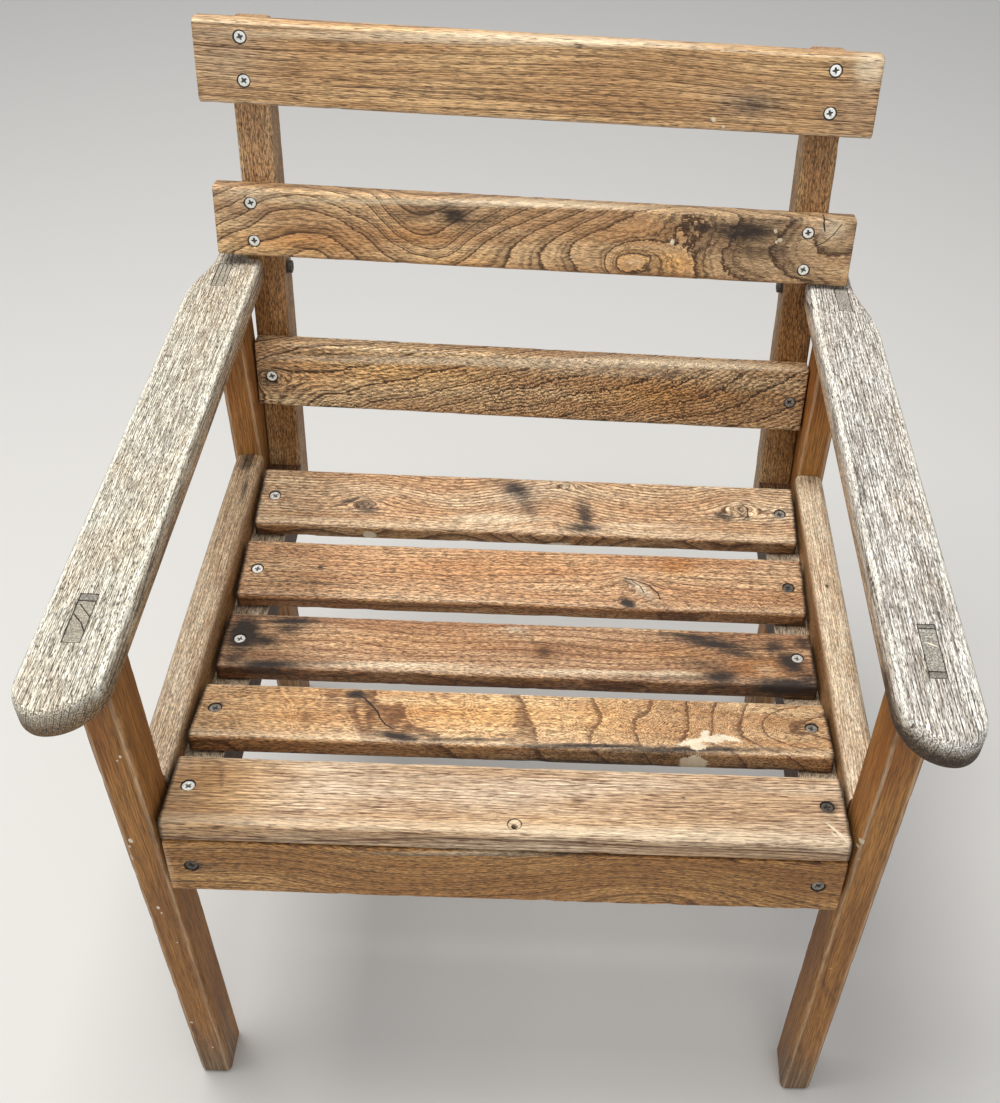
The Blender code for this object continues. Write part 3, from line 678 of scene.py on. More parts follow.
        # wear and painted highlights, mottling, pores, tone and painted shade, stains and painted shade, and
        # paint, in the order in which they cover each other
        drawn = g.less(streak_noise, 0.5)
        # The wear mark lightens towards the worn colour: worn wood, and painted highlights on the arrises and
        # front edges.
        worn = g.times(g.step(g.plus(wear, g.times(drawn, 0.9)), 0.12, 0.85), g.step(wear, 0.0, 0.2))
        colour = g.blend(worn, colour, g.blend(0.72, colour, self.worn))
        factor = g.step(grain_noise, 0.36, 0.64, 1.0 + self.mottle * 0.6, 1.0 - self.mottle)
        colour = g.blend(1.0, colour, g.vector(factor, factor, factor), "MULTIPLY")
        pore = g.times(g.step(pore_noise, 0.57, 0.68), self.pores)
        colour = g.blend(pore, colour, tuple(0.5 * part for part in self.dark))
        depth = g.times(deep, g.step(patch_noise, 0.3, 0.65, 0.75, 1.1), clamp=True)
        colour = g.blend(depth, colour, g.blend(1.0, colour, DEEP_TINT, "MULTIPLY"))
        # The stain mark darkens towards the stain colour: real stains, and painted shade in gaps, recesses and
        # shaded faces.
        ragged = g.plus(stain_and_shade, g.times(g.plus(drawn, g.less(blot_noise, 0.5)), 0.75))
        colour = g.blend(g.times(g.step(ragged, 0.1, 0.95), g.step(stain_and_shade, 0.0, 0.3)), colour, self.stain_and_shade)
        crumb = g.less(g.plus(blot_noise, g.times(grain_noise, 0.5)), 0.75)
        painted = g.step(g.plus(paint, g.times(crumb, 1.5)), 0.42, 0.5)
        painted = g.times(g.times(painted, g.step(grain_noise, 0.78, 0.62)), g.step(paint, 0.02, 0.2))
        colour = g.blend(painted, colour, g.blend(g.step(patch_noise, 0.35, 0.7), CLEAN_PAINT, DIRTY_PAINT))
        g.put(g.shader.inputs["Base Color"], colour)
        # the gloss, and the height of the surface
        gloss = {0: streak_noise, 1: 0.25, 2: self.roughness - 0.12}
        g.put(g.shader.inputs["Roughness"], g.node("Math", gloss, operation="MULTIPLY_ADD").outputs[0])
        g.shader.inputs["Specular IOR Level"].default_value = 0.35
        sunk = g.plus(pore, g.times(line, self.ring_line * 0.5))
        height = g.less(g.times(g.less(1.0, grain_noise), 0.9), sunk)
        height = g.plus(height, g.times(painted, 0.5))
        g.put(g.shader.inputs["Normal"], g.bump(height, self.relief * MM, 0.9))
        g.material.diffuse_color = (*self.middle, 1.0)
        return g.material


@dataclass(frozen=True)
class Steel:
    """A zinc-plated steel finish, with dull spots, and dirt or rust and painted shade in its low places."""

    name: str
    slot: str
    bright: Colour
    dirt: Colour
    dullness: float
    roughness: float

    def material(self) -> bpy.types.Material:
        """Build the finish, once for each name.

        Returns:
            The material.
        """
        found = bpy.data.materials.get(self.name)
        if found:
            return found
        g = Graph(self.name)
        place = g.node("TexCoord", {}).outputs["Object"]
        spots = g.noise(place, scale=900.0, detail=3.0, roughness=0.6)
        patches = g.noise(place, scale=260.0, detail=2.0)
        # The low places darken to near black: dirt, and painted shade in the recesses.
        low = g.attribute("marks")[0]
        dull = g.maths("MAXIMUM", g.times(g.step(patches, 0.35, 0.7), self.dullness),
                       g.times(g.step(spots, 0.55, 0.72), self.dullness))
        g.put(g.shader.inputs["Base Color"], g.blend(low, g.blend(dull, self.bright, self.dirt), GRIME_AND_SHADE))
        g.put(g.shader.inputs["Metallic"], g.less(1.0, g.maths("MAXIMUM", low, dull), clamp=True))
        g.put(g.shader.inputs["Roughness"],
              g.step(spots, 0.2, 0.8, self.roughness - 0.1, self.roughness + 0.2))
        g.put(g.shader.inputs["Normal"], g.bump(spots, 0.03 * MM, 0.6))
        g.material.diffuse_color = (*self.bright, 1.0)
        return g.material


OILED = Wood("oiled wood", "oiled_wood", srgb(240, 206, 158), srgb(204, 156, 106), srgb(96, 58, 34),
             worn=srgb(240, 220, 188))
BRIGHT_ZINC = Steel("bright zinc", "bright_steel", srgb(246, 246, 240), srgb(150, 142, 126), 0.25, 0.34)
DULL_ZINC = Steel("dull zinc", "dull_steel", srgb(160, 156, 148), srgb(84, 70, 56), 0.75, 0.5)
DARK_ZINC = replace(DULL_ZINC, name="dark zinc", bright=srgb(104, 98, 90), dirt=srgb(52, 44, 36), dullness=0.9)
SCREW_STEELS = {
    "seat_screw_1_right": DARK_ZINC, "seat_screw_4_right": DARK_ZINC, "seat_screw_5_right": DULL_ZINC,
    "seat_screw_2_right": DULL_ZINC, "apron_screw_left": DARK_ZINC, "apron_screw_right": DULL_ZINC,
    "seat_screw_2_left": DULL_ZINC, "back_screw_low_right": DULL_ZINC,
}


# ---- pieces

@dataclass
class Made:
    """Points, quads and attribute values of one piece."""

    points: Array
    quads: Array
    values: dict[str, Array] = field(default_factory=dict)

    def take_grain(self, fibre: Array, rings: Array, knots: object = 0.0) -> None:
        """Keep the wood's grain, and start with no marks on it.

        Args:
            fibre: fibre positions.
            rings: ring numbers.
            knots: shares of knot wood.
        """
        self.values = {"fibre": fibre}
        self.values.update((key, np.zeros((len(fibre), 3))) for key in ("figure", "marks", "tone"))
        self.values["figure"][:, 0] = rings
        self.values["figure"][:, 1] = knots

    def mark(self, kind: MarkKind, amount: object) -> None:
        """Raise a mark to an amount wherever it is lower."""
        key, channel = kind.value
        self.values[key][:, channel] = np.maximum(self.values[key][:, channel], amount)

    def mirror(self, side: float) -> None:
        """Turn a right-hand piece into a left-hand one where the side is -1."""
        self.points[:, 0] *= side
        self.quads = self.quads[:, ::-1] if side < 0 else self.quads


def make_piece(name: str, made: Made, finish: Wood | Steel, *nodes: str) -> None:
    """Put a finished piece in the chair.

    Args:
        name: the piece's name.
        made: its mesh, in the chair's frame.
        finish: its finish.
        nodes: frame pieces that it stands for.
    """
    mesh = bpy.data.meshes.new(name)
    mesh.vertices.add(len(made.points))
    mesh.vertices.foreach_set("co", made.points.astype(np.float32).ravel())
    mesh.loops.add(made.quads.size)
    mesh.loops.foreach_set("vertex_index", made.quads.astype(np.int32).ravel())
    mesh.polygons.add(len(made.quads))
    mesh.polygons.foreach_set("loop_start", np.arange(0, made.quads.size, 4, dtype=np.int32))
    mesh.update(calc_edges=True)
    for key, values in made.values.items():
        attribute = mesh.attributes.new(key, "FLOAT_VECTOR", "POINT")
        attribute.data.foreach_set("vector", values.astype(np.float32).ravel())
    mesh.shade_smooth()
    mesh.set_sharp_from_angle(angle=math.radians(42.0))
    mesh.materials.append(finish.material())
    piece = bpy.data.objects.new(name, mesh)
    bpy.context.scene.collection.objects.link(piece)
    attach(piece, BODY)
    if nodes:
        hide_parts(*nodes)
    log.info("%s: %d points, %d quads", name, len(made.points), len(made.quads))


@dataclass(frozen=True)
class Hole:
    """A round hole in a board's face: its depth at each distance from its middle, in metres."""

    x: float
    y: float
    radii: tuple[float, ...]
    depths: tuple[float, ...]
    bare: bool = False

    def dirt(self, far: Array) -> Array:
        """Dirt and painted shade in the hole: all over it, or only in its bore and round its rim if it is bare.

        Args:
            far: distances from its middle.

        Returns:
            One share of dirt and painted shade for each distance.
        """
        # A bare hole's deep bore is darkened as painted shade, with a dark ring round its rim; a screw's hole
        # is darkened all over, dirt and painted shade in the gap round the head.
        if self.bare:
            return np.maximum(0.95 * smooth(self.radii[2] + 0.3 * MM, self.radii[1], far),
                              1.1 * np.exp(-((far - self.radii[-1] - 0.15 * MM) / (0.42 * MM)) ** 2))
        return 0.9 * smooth(self.radii[-1] + 0.8 * MM, self.radii[-1] - 0.1 * MM, far)

    def sink(self, points: Array, face: Array) -> None:
        """Gather the face's points at the hole's rims, then push them down to its depths.

        Args:
            points: the board's points, which are changed.
            face: which of them lie on the pierced face.
        """
        offsets = points[:, :2] - np.array((self.x, self.y))
        far = np.linalg.norm(offsets, axis=1)
        near = far.copy()
        for rim in self.radii[1:]:
            away = near - rim
            near = rim + away * (1.0 - np.exp(-(away / (0.3 * MM)) ** 2))
        moved = face & (far < 2.5 * self.radii[-1]) & (far > 1e-9)
        scale = near[moved] / far[moved]
        points[moved, :2] = np.array((self.x, self.y)) + offsets[moved] * scale[:, None]
        points[moved, 2] -= np.interp(near[moved], self.radii, self.depths, right=0.0)


SCREW_HOLE_RADII = (0.0, 5.3 * MM, 5.55 * MM)
SCREW_HOLE_DEPTHS = (3.2 * MM, 3.2 * MM, 0.0)


@dataclass(frozen=True)
class Screw:
    """A countersunk cross-head screw. Its own z runs out of its head, and the head's top is at zero."""

    node: str
    placing: Placing
    steel: Steel
    profile: tuple[Pair, ...] = (
        (0.4, -21.0), (2.0, -19.0), (2.0, -3.3), (4.75, -0.6), (4.9, -0.45), (4.88, -0.12), (4.6, 0.0))
    lines: int = 33
    slot_half: float = 0.74 * MM
    slot_reach: float = 2.7 * MM
    slot_depth: float = 1.9 * MM
    bowl: float = 1.5 * MM

    def build(self) -> None:
        """Build the screw.

        Each level of a square block becomes a circle of the profile's radius there, and the top is sunk where
        it is near the cross's arms, deepest at the middle.
        """
        side = np.linspace(-1.0, 1.0, self.lines)
        levels = np.arange(len(self.profile), dtype=float)
        points, quads = block_surface(side, side, levels)
        level = points[:, 2].copy()
        radii, heights = (np.array(part) * MM for part in zip(*self.profile))
        points[:, :2] = drawn_round(points[:, :2], np.ones(2)) * np.interp(level, levels, radii)[:, None]
        points[:, 2] = np.interp(level, levels, heights)
        turn = np.random.default_rng(sum(map(ord, self.node))).uniform(0.0, math.pi)
        x = points[:, 0] * math.cos(turn) + points[:, 1] * math.sin(turn)
        y = points[:, 1] * math.cos(turn) - points[:, 0] * math.sin(turn)
        x, y = np.abs(x), np.abs(y)
        arm = np.minimum(np.maximum(x - self.slot_half, y - self.slot_reach),
                         np.maximum(y - self.slot_half, x - self.slot_reach))
        top = level > levels[-1] - 0.5
        arm = np.minimum(arm, np.hypot(x, y) - self.bowl)
        inside = np.where(top, smooth(0.1 * MM, -0.3 * MM, arm), 0.0)
        middle = 1.0 - 0.55 * np.clip(np.hypot(x, y) / self.slot_reach, 0.0, 1.0)
        points[:, 2] -= inside * middle * self.slot_depth
        far = np.hypot(points[:, 0], points[:, 1])
        # The cross, the underside of the head and a ring round its rim go near black: dirt, and painted shade
        # in these recesses.
        dirt = np.maximum(inside * 0.95, np.where(top, 0.0, smooth(-0.2 * MM, -0.6 * MM, points[:, 2])))
        dirt = np.maximum(dirt, 0.55 * smooth(4.35 * MM, 4.9 * MM, far))
        made = Made(self.placing.to_chair(points), quads, {"marks": dirt[:, None] * np.array((1.0, 0.0, 0.0))})
        make_piece(self.node + "_turned", made, self.steel, self.node)


@dataclass(frozen=True)
class Look:
    """How one board is dressed: its finish, its grain, what weather and use have done to it, and the painted
    shade and highlights on it.
    """

    wood: Wood
    grain: Grain
    marks: tuple[Mark, ...] = ()
    cracks: tuple[Crack, ...] = ()
    holes: tuple[Hole, ...] = ()
    wobble: float = 0.25 * MM
    edge_wear: float = 0.5
    # Lightening of the top arris and of the top by the front edge: worn wood, and a painted highlight.
    arris_wear_and_highlight: float = 0.0
    front_wear_and_highlight: float = 0.0
    end_grey: float = 0.0
    # Darkening near the ends: painted shade in the gaps beside them.
    end_gap_shade: float = 0.0
    top_bleach: float = 0.0
    # Darkening of the sides and of the face underneath: painted shade.
    side_shade: float = 0.5
    under_shade: float = 0.4
    whole_deep: float = 0.0


@dataclass
class Board:
    """A straight board: x runs along it, y across it and z out of its face."""

    node: str
    size: Vector3
    placing: Placing
    look: Look
    edge_round: float = 4.5 * MM
    end_round: float = 1.6 * MM
    screws: tuple[str, ...] = ()
    screw_sunk: float = 0.9 * MM
    round_both_ends: bool = True
    pitch: float = 2.4 * MM

    def screw_holes(self) -> list[Hole]:
        """The countersunk holes of the board's screws, and its other holes."""
        found = [Hole(*self.placing.to_own(middle_of(screw)[None])[0][:2], SCREW_HOLE_RADII,
                      SCREW_HOLE_DEPTHS) for screw in self.screws]
        return found + list(self.look.holes)

    def fine_stretches(self, axis: int) -> list[tuple[float, float, float]]:
        """Where the lines lie closer: at holes, cracks, knots and small marks.

        Args:
            axis: 0 along the board, 1 across it.

        Returns:
            Stretches, as (middle, reach, pitch).
        """
        stretches = [((hole.x, hole.y)[axis], 6.0 * MM, 0.5 * MM) for hole in self.screw_holes()]
        for mark in self.look.marks:
            reach = max(mark.reach_x, mark.reach_y) * MM
            if reach < 16.0 * MM and mark.kind is PAINT:
                stretches.append(((mark.x, mark.y)[axis] * MM, reach * 1.3, max(0.55 * MM, reach / 7)))
        for crack in self.look.cracks:
            ends = np.array(crack.path)[:, axis] * MM
            stretches.append((float(ends.mean()), float(np.ptp(ends)) / 2 + 1.2 * MM,
                              (0.32 + 0.28 * crack.width) * MM))
        for knot in self.look.grain.knots:
            stretches.append(((knot.x, knot.y)[axis] * MM, 2.0 * max(knot.size_x, knot.size_y) * MM,
                              1.5 * MM))
        return stretches

    def block(self) -> Made:
        """Rule the board's block, before it is shaped.

        Returns:
            Its points and quads.
        """
        half = np.array(self.size) / 2
        xs = ruled_lines(-half[0] + self.end_round, half[0] - self.end_round, self.pitch,
                         fine=self.fine_stretches(0))
        ends = self.end_round * np.array((0.0, 0.25, 0.5, 0.75))
        xs = np.concatenate((-half[0] + ends, xs, (half[0] - ends)[::-1]))
        ys = ruled_lines(-half[1], half[1], self.pitch, self.edge_round, fine=self.fine_stretches(1))
        zs = ruled_lines(-half[2], half[2], self.pitch, self.edge_round)
        return Made(*block_surface(xs, ys, zs))

    def shape(self, points: Array) -> None:
        """Round the long edges as quarter circles, then draw the ends in as a quarter circle too.

        Args:
            points: the block's points, which are changed.
        """
        half = np.array(self.size) / 2
        core = np.clip(points[:, 1:], self.edge_round - half[1:], half[1:] - self.edge_round)
        points[:, 1:] = core + drawn_round(points[:, 1:] - core, np.full(2, self.edge_round))
        into = np.clip((np.abs(points[:, 0]) - half[0] + self.end_round) / self.end_round, 0.0, 1.0)
        if not self.round_both_ends:
            into[points[:, 0] > 0] = 0.0
        angle = into * math.pi / 2
        inset = self.end_round * (1.0 - np.cos(angle))
        points[:, 0] = np.sign(points[:, 0]) * np.where(
            into > 0, half[0] - self.end_round * (1.0 - np.sin(angle)), np.abs(points[:, 0]))
        points[:, 1:] *= 1.0 - inset[:, None] / half[1:]

    def wear(self, points: Array) -> None:
        """Let the faces and edges sink in slow waves. Nothing stands proud.

        Args:
            points: the board's points, which are changed.
        """
        half = np.array(self.size) / 2
        sway = waves(points, self.look.grain.seed + 11, (90.0 * MM, 30.0 * MM, 30.0 * MM))
        dip = self.look.wobble * (0.5 + 0.45 * np.clip(sway, -1.1, 1.1))
        edges = np.minimum(smooth(half[1] - 6.0 * MM, half[1], np.abs(points[:, 1])),
                           smooth(half[2] - 6.0 * MM, half[2], np.abs(points[:, 2])))
        nicks = np.clip(waves(points, self.look.grain.seed + 12, (26.0 * MM, 14.0 * MM, 14.0 * MM), 14) - 0.4,
                        0.0, 2.0)
        dip = dip + edges * self.look.edge_wear * nicks * MM
        shrink = 1.0 - dip[:, None] / half[1:]
        points[:, 1:] *= np.maximum(shrink, 0.8)

    def dress(self, made: Made) -> None:
        """Give the wood its grain and its marks, with painted shade on its ends, sides and underside, and
        painted highlights, partly wear, on its top arris and by its front edge.

        Args:
            made: the worn board, in its own axes.
        """
        points, look, half = made.points, self.look, np.array(self.size) / 2
        made.take_grain(*look.grain.read(points))
        for mark in look.marks:
            made.mark(mark.kind, mark.cover(points, half[2]))
        height = points[:, 2] / half[2]
        over = np.clip(0.75 + height, 0.0, 1.0)
        for crack in look.cracks:
            made.mark(STAIN_AND_SHADE, 1.6 * (over * crack.opening(points, 0.2)))
        inwards = half[0] - np.abs(points[:, 0])
        made.mark(GREY, look.end_grey * smooth(60.0 * MM, 5.0 * MM, inwards))
        # Painted shade in the gaps at the ends: darker within 5 mm of each end.
        made.mark(STAIN_AND_SHADE, look.end_gap_shade * smooth(5.0 * MM, 0.5 * MM, inwards))
        faces_up = smooth(0.55, 1.0, height + 0.02)
        made.mark(GREY, look.top_bleach * faces_up)
        # Painted shade: the sides, and the face underneath, are darkened.
        made.mark(DEEP, look.side_shade * (1.0 - faces_up))
        made.mark(DEEP, look.under_shade * smooth(0.0, -0.95, height))
        made.mark(DEEP, look.whole_deep)
        # Painted highlights, partly real wear: the rounded top arris, and the top near the front edge, are
        # lightened.
        corner = np.abs(points[:, 1]) - half[1] + self.edge_round
        rim = np.exp(-((corner / self.edge_round - 0.4) / 0.34) ** 2) * smooth(0.3, 0.8, height)
        front = smooth(18.0 * MM, 6.0 * MM, half[1] + points[:, 1]) * faces_up
        made.mark(WEAR_AND_HIGHLIGHT, look.arris_wear_and_highlight * rim)
        made.mark(WEAR_AND_HIGHLIGHT, look.front_wear_and_highlight * front)

    def build(self) -> None:
        """Build the board and its screws, and put them in the chair."""
        made = self.block()
        face = made.points[:, 2] > self.size[2] / 2 - 1e-7
        points = made.points
        self.shape(points)
        self.wear(points)
        self.dress(made)
        for crack in self.look.cracks:
            points[:, 2] -= np.where(face, crack.opening(points) * crack.depth * MM, 0.0)
        for hole in self.screw_holes():
            hole.sink(points, face)
            far = np.linalg.norm(points[:, :2] - np.array((hole.x, hole.y)), axis=1)
            # Dirt and painted shade in and round the hole.
            made.mark(STAIN_AND_SHADE, np.where(face, hole.dirt(far), 0.0))
            if hole.bare:
                made.mark(WEAR_AND_HIGHLIGHT, np.where(face & (far < hole.radii[-1]), 1.0, 0.0))
        for screw in self.screws:
            x, y = self.placing.to_own(middle_of(screw)[None])[0][:2]
            seat = self.placing.to_chair(np.array(((x, y, self.size[2] / 2 - self.screw_sunk),)))[0]
            placing = replace(self.placing, origin=tuple(seat))
            Screw(screw, placing, SCREW_STEELS.get(screw, BRIGHT_ZINC)).build()
        made.points = self.place(points)
        make_piece(self.node + "_board", made, self.look.wood, self.node)

    def place(self, points: Array) -> Array:
        """Own positions to the chair's."""
        return self.placing.to_chair(points)


# ---- how each board is dressed

def seat_wood(number: int, **changes: object) -> Wood:
    """The seat's oiled wood, a little different on each slat."""
    return replace(OILED, name=f"oiled wood, seat slat {number}", seed=number * 0.37, **changes)


def back_wood(name: str, seed: float, **changes: object) -> Wood:
    """The back's oiled wood, browner than the seat's."""
    base = replace(OILED, light=srgb(238, 198, 148), middle=srgb(196, 152, 106), dark=srgb(80, 54, 34))
    return replace(base, name=f"oiled wood, {name} back slat", seed=seed, **changes)


# A ring's dark line lies just before its whole number, so the second slat's numbers are 0.45 low.
SEAT_2_RINGS = ring_paths(
    (-1.0, (-260, 20), (-230, -5), (-200, -30)),
    (-0.45, (-134, 25), (-125, 10), (-114, -11), (-97, -20)),
    (0.55, (3, 25), (1, 0), (7, -24)),
    (1.55, (65, 21), (68, -1), (65, -25)),
    (2.55, (106, 25), (100, 0), (98, -21)),
    (3.55, (145, 22), (140, -2), (138, -22)),
    (4.55, (168, 24), (163, -1), (160, -18)),
    (5.55, (196, 32), (185, 10), (189, -14), (211, -28)),
    (6.55, (240, 28), (212, 11), (213, -13), (244, -24)),
    (7.55, (260, 18), (231, 10), (228, 0), (232, -10), (260, -14)),
)
# In the seat slats' looks, the wear on the top arris and by the front edge, and the wear strips along the front
# edge, are partly painted highlight; the darkened ends, front faces and undersides are painted shade.
SEAT_LOOK_1 = Look(
    seat_wood(1, ring_fine=0.7, pores=0.6, hairs=0.85, grain_length=12.0, grain_width=0.7,
        mottle=0.26, streaks=0.5, light=srgb(246, 224, 194), middle=srgb(222, 188, 150)),
    Grain(21, ring=3.1, sway=0.5, sway_length=300.0),
    marks(DEEP, (-240, 0, 40, 45, 0.4), (-60, 24, 150, 7, 0.25), (210, -6, 60, 30, 0.2))
    + marks(GOLD, (-225, 0, 50, 50, 0.9), (40, -22, 140, 10, 0.5))
    + marks(DEEP, (48, -4, 5, 3, 0.6), (71, -11, 5, 3, 0.6), (58, -8, 4, 2.4, 0.5), (52, 3, 4, 3, 0.4))
    + marks(STAIN_AND_SHADE, (134, 7, 1.8, 1.4, 1.1), (134, 18, 1.0, 0.8, 0.9), (-222, 12, 3, 14, 0.55, 14),
        (-236, -14, 14, 3, 0.4), (171, 20, 1.2, 1.0, 0.9), (247, 2, 9, 8, 0.85), (258, 6, 4, 10, 0.5),
        (-100, 8, 40, 1.2, 0.35), (60, 14, 60, 1.2, 0.4), (240, -28, 12, 2, 0.4))
    + marks(PAINT, (246, -18, 7, 0.8, 1.3, -52), (250, -23, 7, 1.0, 1.3, -56), (253, -27, 5, 1.5, 1.4, -60),
        (247, -25, 3, 0.7, 1.2, -50)),
    holes=(Hole(5.6 * MM, -25.5 * MM, (0.0, 2.1 * MM, 2.4 * MM, 4.9 * MM, 5.2 * MM),
            (15.0 * MM, 15.0 * MM, 3.0 * MM, 0.9 * MM, 0.0), bare=True),),
    arris_wear_and_highlight=0.6, side_shade=0.3, front_wear_and_highlight=0.5, end_gap_shade=0.8)
SEAT_LOOK_2 = Look(
    seat_wood(2, ring_line=0.85, ring_width=0.3, ring_edge=0.12, ring_fine=0.8,
        fine_count=12.0, pores=0.5, mottle=0.46, light=srgb(250, 218, 172),
        middle=srgb(214, 168, 120)),
    Grain(22, ring=40.0, sway=0.12, sway_length=30.0, paths=SEAT_2_RINGS),
    marks(RIPPLE, (150, 0, 120, 60, 1.0), (-20, 0, 90, 60, 0.35), edge=4.0)
    + marks(STAIN_AND_SHADE, (-133, 24, 12, 7, 1.0), (-120, 12, 9, 3, 0.6, -50), (-92, -27, 22, 5, 1.1, -8),
        (-40, -28, 50, 3, 0.8), (60, -30, 70, 3, 0.9), (-70, -24, 16, 2, 0.7, -12), (140, -30, 90, 4, 0.9),
        (60, -33, 120, 6, 0.8, 0, -6), (190, -33, 60, 6, 0.6, 0, -6), (246, 2, 9, 7, 0.55),
        (215, 28, 20, 3, 0.4))
    + marks(GOLD, (-30, 4, 90, 20, 0.8), (70, 6, 36, 22, 0.6), (-190, 0, 50, 30, 0.5))
    + marks(DEEP, (160, 22, 60, 8, 0.35), (228, 0, 34, 40, 0.3), (-240, -18, 30, 12, 0.3))
    + marks(PAINT, (160, -17, 15, 5, 1.0, 6), (174, -15, 12, 3.4, 0.9, -14), (146, -21, 14, 3.6, 1.0, 20),
        (156, -11, 5, 4, 0.9, 60), (150, -26, 9, 5, 0.95), (146, -32, 11, 8, 1.3, 0, -2),
        (147, -33, 9, 7, 1.3, 0, -7)),
    (Crack(((-133, 25), (-125, 19), (-120, 13), (-112, 2), (-110, -4), (-104, -13), (-98, -17)),
            0.9, 0.9),),
    arris_wear_and_highlight=0.6, side_shade=0.8, front_wear_and_highlight=0.4, end_gap_shade=0.8)
SEAT_LOOK_3 = Look(
    seat_wood(3, ring_fine=0.3, streaks=0.85, light=srgb(228, 192, 152), middle=srgb(182, 138, 102)),
    Grain(23, ring=7.0, slope_y=0.03, sway=0.9),
    marks(STAIN_AND_SHADE, (-243, 6, 17, 24, 1.2), (-226, -2, 18, 10, 0.9), (-214, -30, 32, 6, 0.95),
        (-203, 25, 30, 6, 0.95), (-204, 15, 16, 11, 0.75), (-246, -24, 14, 11, 0.7), (-180, -27, 50, 3, 0.6),
        (172, 15, 38, 6, 1.05, -8), (152, 23, 44, 4, 0.9, -4), (192, 4, 30, 7, 0.75, -12),
        (176, -26, 18, 10, 0.95), (234, -34, 40, 10, 1.1), (238, -6, 12, 19, 1.0, 30), (226, 14, 13, 13, 0.8),
        (252, 20, 11, 10, 0.8), (160, -12, 34, 9, 0.55, -10), (252, -26, 10, 14, 0.8), (22, -3, 7, 8, 0.6),
        (14, 8, 14, 3, 0.4), (-18, -5, 40, 2, 0.35), (150, -28, 100, 3, 0.6), (-100, -12, 60, 1.6, 0.35),
        (60, -33, 260, 5, 0.5, 0, -5))
    + marks(GOLD, (212, -14, 26, 16, 1.0), (130, 2, 60, 12, 0.5), (-90, 6, 100, 16, 0.45))
    + marks(DEEP, (190, 0, 80, 60, 0.45), (70, 4, 60, 24, 0.2), (22, -3, 12, 12, 0.8), (-236, 0, 40, 60, 0.4))
    + marks(GREY, (-5, 24, 12, 5, 1.0), (4, 17, 5, 4, 0.8), (168, 18, 26, 8, 0.5))
    + marks(WEAR_AND_HIGHLIGHT, (-110, -26, 80, 4, 0.9), (60, -26, 90, 4, 0.8), (130, -25, 36, 5, 1.0),
        (-5, 23, 10, 4, 0.5), (216, -16, 16, 12, 0.5)),
    arris_wear_and_highlight=0.4, side_shade=0.95, front_wear_and_highlight=0.4, end_gap_shade=0.9)
SEAT_LOOK_4 = Look(
    seat_wood(4, ring_fine=0.4, streaks=0.75, light=srgb(240, 204, 160), middle=srgb(208, 158, 114)),
    Grain(24, ring=5.0, sway=0.7, sway_length=320.0,
        bends=(Bend(108, -10, 30, 16, 3), Bend(96, -27, 16, 10, -2)),
        knots=(Knot(108, -10, 19, 6, -44, 0.12), Knot(96, -27, 6, 3.6, -20, 1.0))),
    marks(STAIN_AND_SHADE, (-188, 2, 3.2, 2.2, 1.0), (-190, -17, 60, 2.2, 0.6, -2), (-60, -6, 70, 1.2, 0.4),
        (-20, 14, 60, 1.2, 0.35), (238, 0, 9, 6, 0.35), (96, -27, 8, 5, 1.2, -20), (97, -3, 18, 2, 0.5, -36),
        (120, -4, 14, 1.6, 0.6, -30), (150, 6, 36, 1.2, 0.5), (210, 2, 30, 1.0, 0.5))
    + marks(GREY, (108, -10, 23, 7, 1.0, -44), (235, 20, 26, 10, 0.5))
    + marks(WEAR_AND_HIGHLIGHT, (108, -9, 18, 4, 0.7, -44))
    + marks(GOLD, (142, 20, 18, 12, 0.9), (-20, 10, 120, 14, 0.35))
    + marks(DEEP, (142, 22, 14, 9, 0.3), (-200, -16, 56, 12, 0.45), (240, -18, 30, 20, 0.35),
        (200, -20, 60, 6, 0.35))
    + marks(RIPPLE, (195, -27, 66, 8, 1.2), edge=4.0),
    (Crack(((92, 3), (104, 0), (116, -5), (124, -14), (126, -21)), 0.7, 0.7),
        Crack(((100, 0), (108, -7), (111, -14)), 0.5, 0.5)),
    arris_wear_and_highlight=0.45, side_shade=0.8, front_wear_and_highlight=0.3, end_gap_shade=0.8)
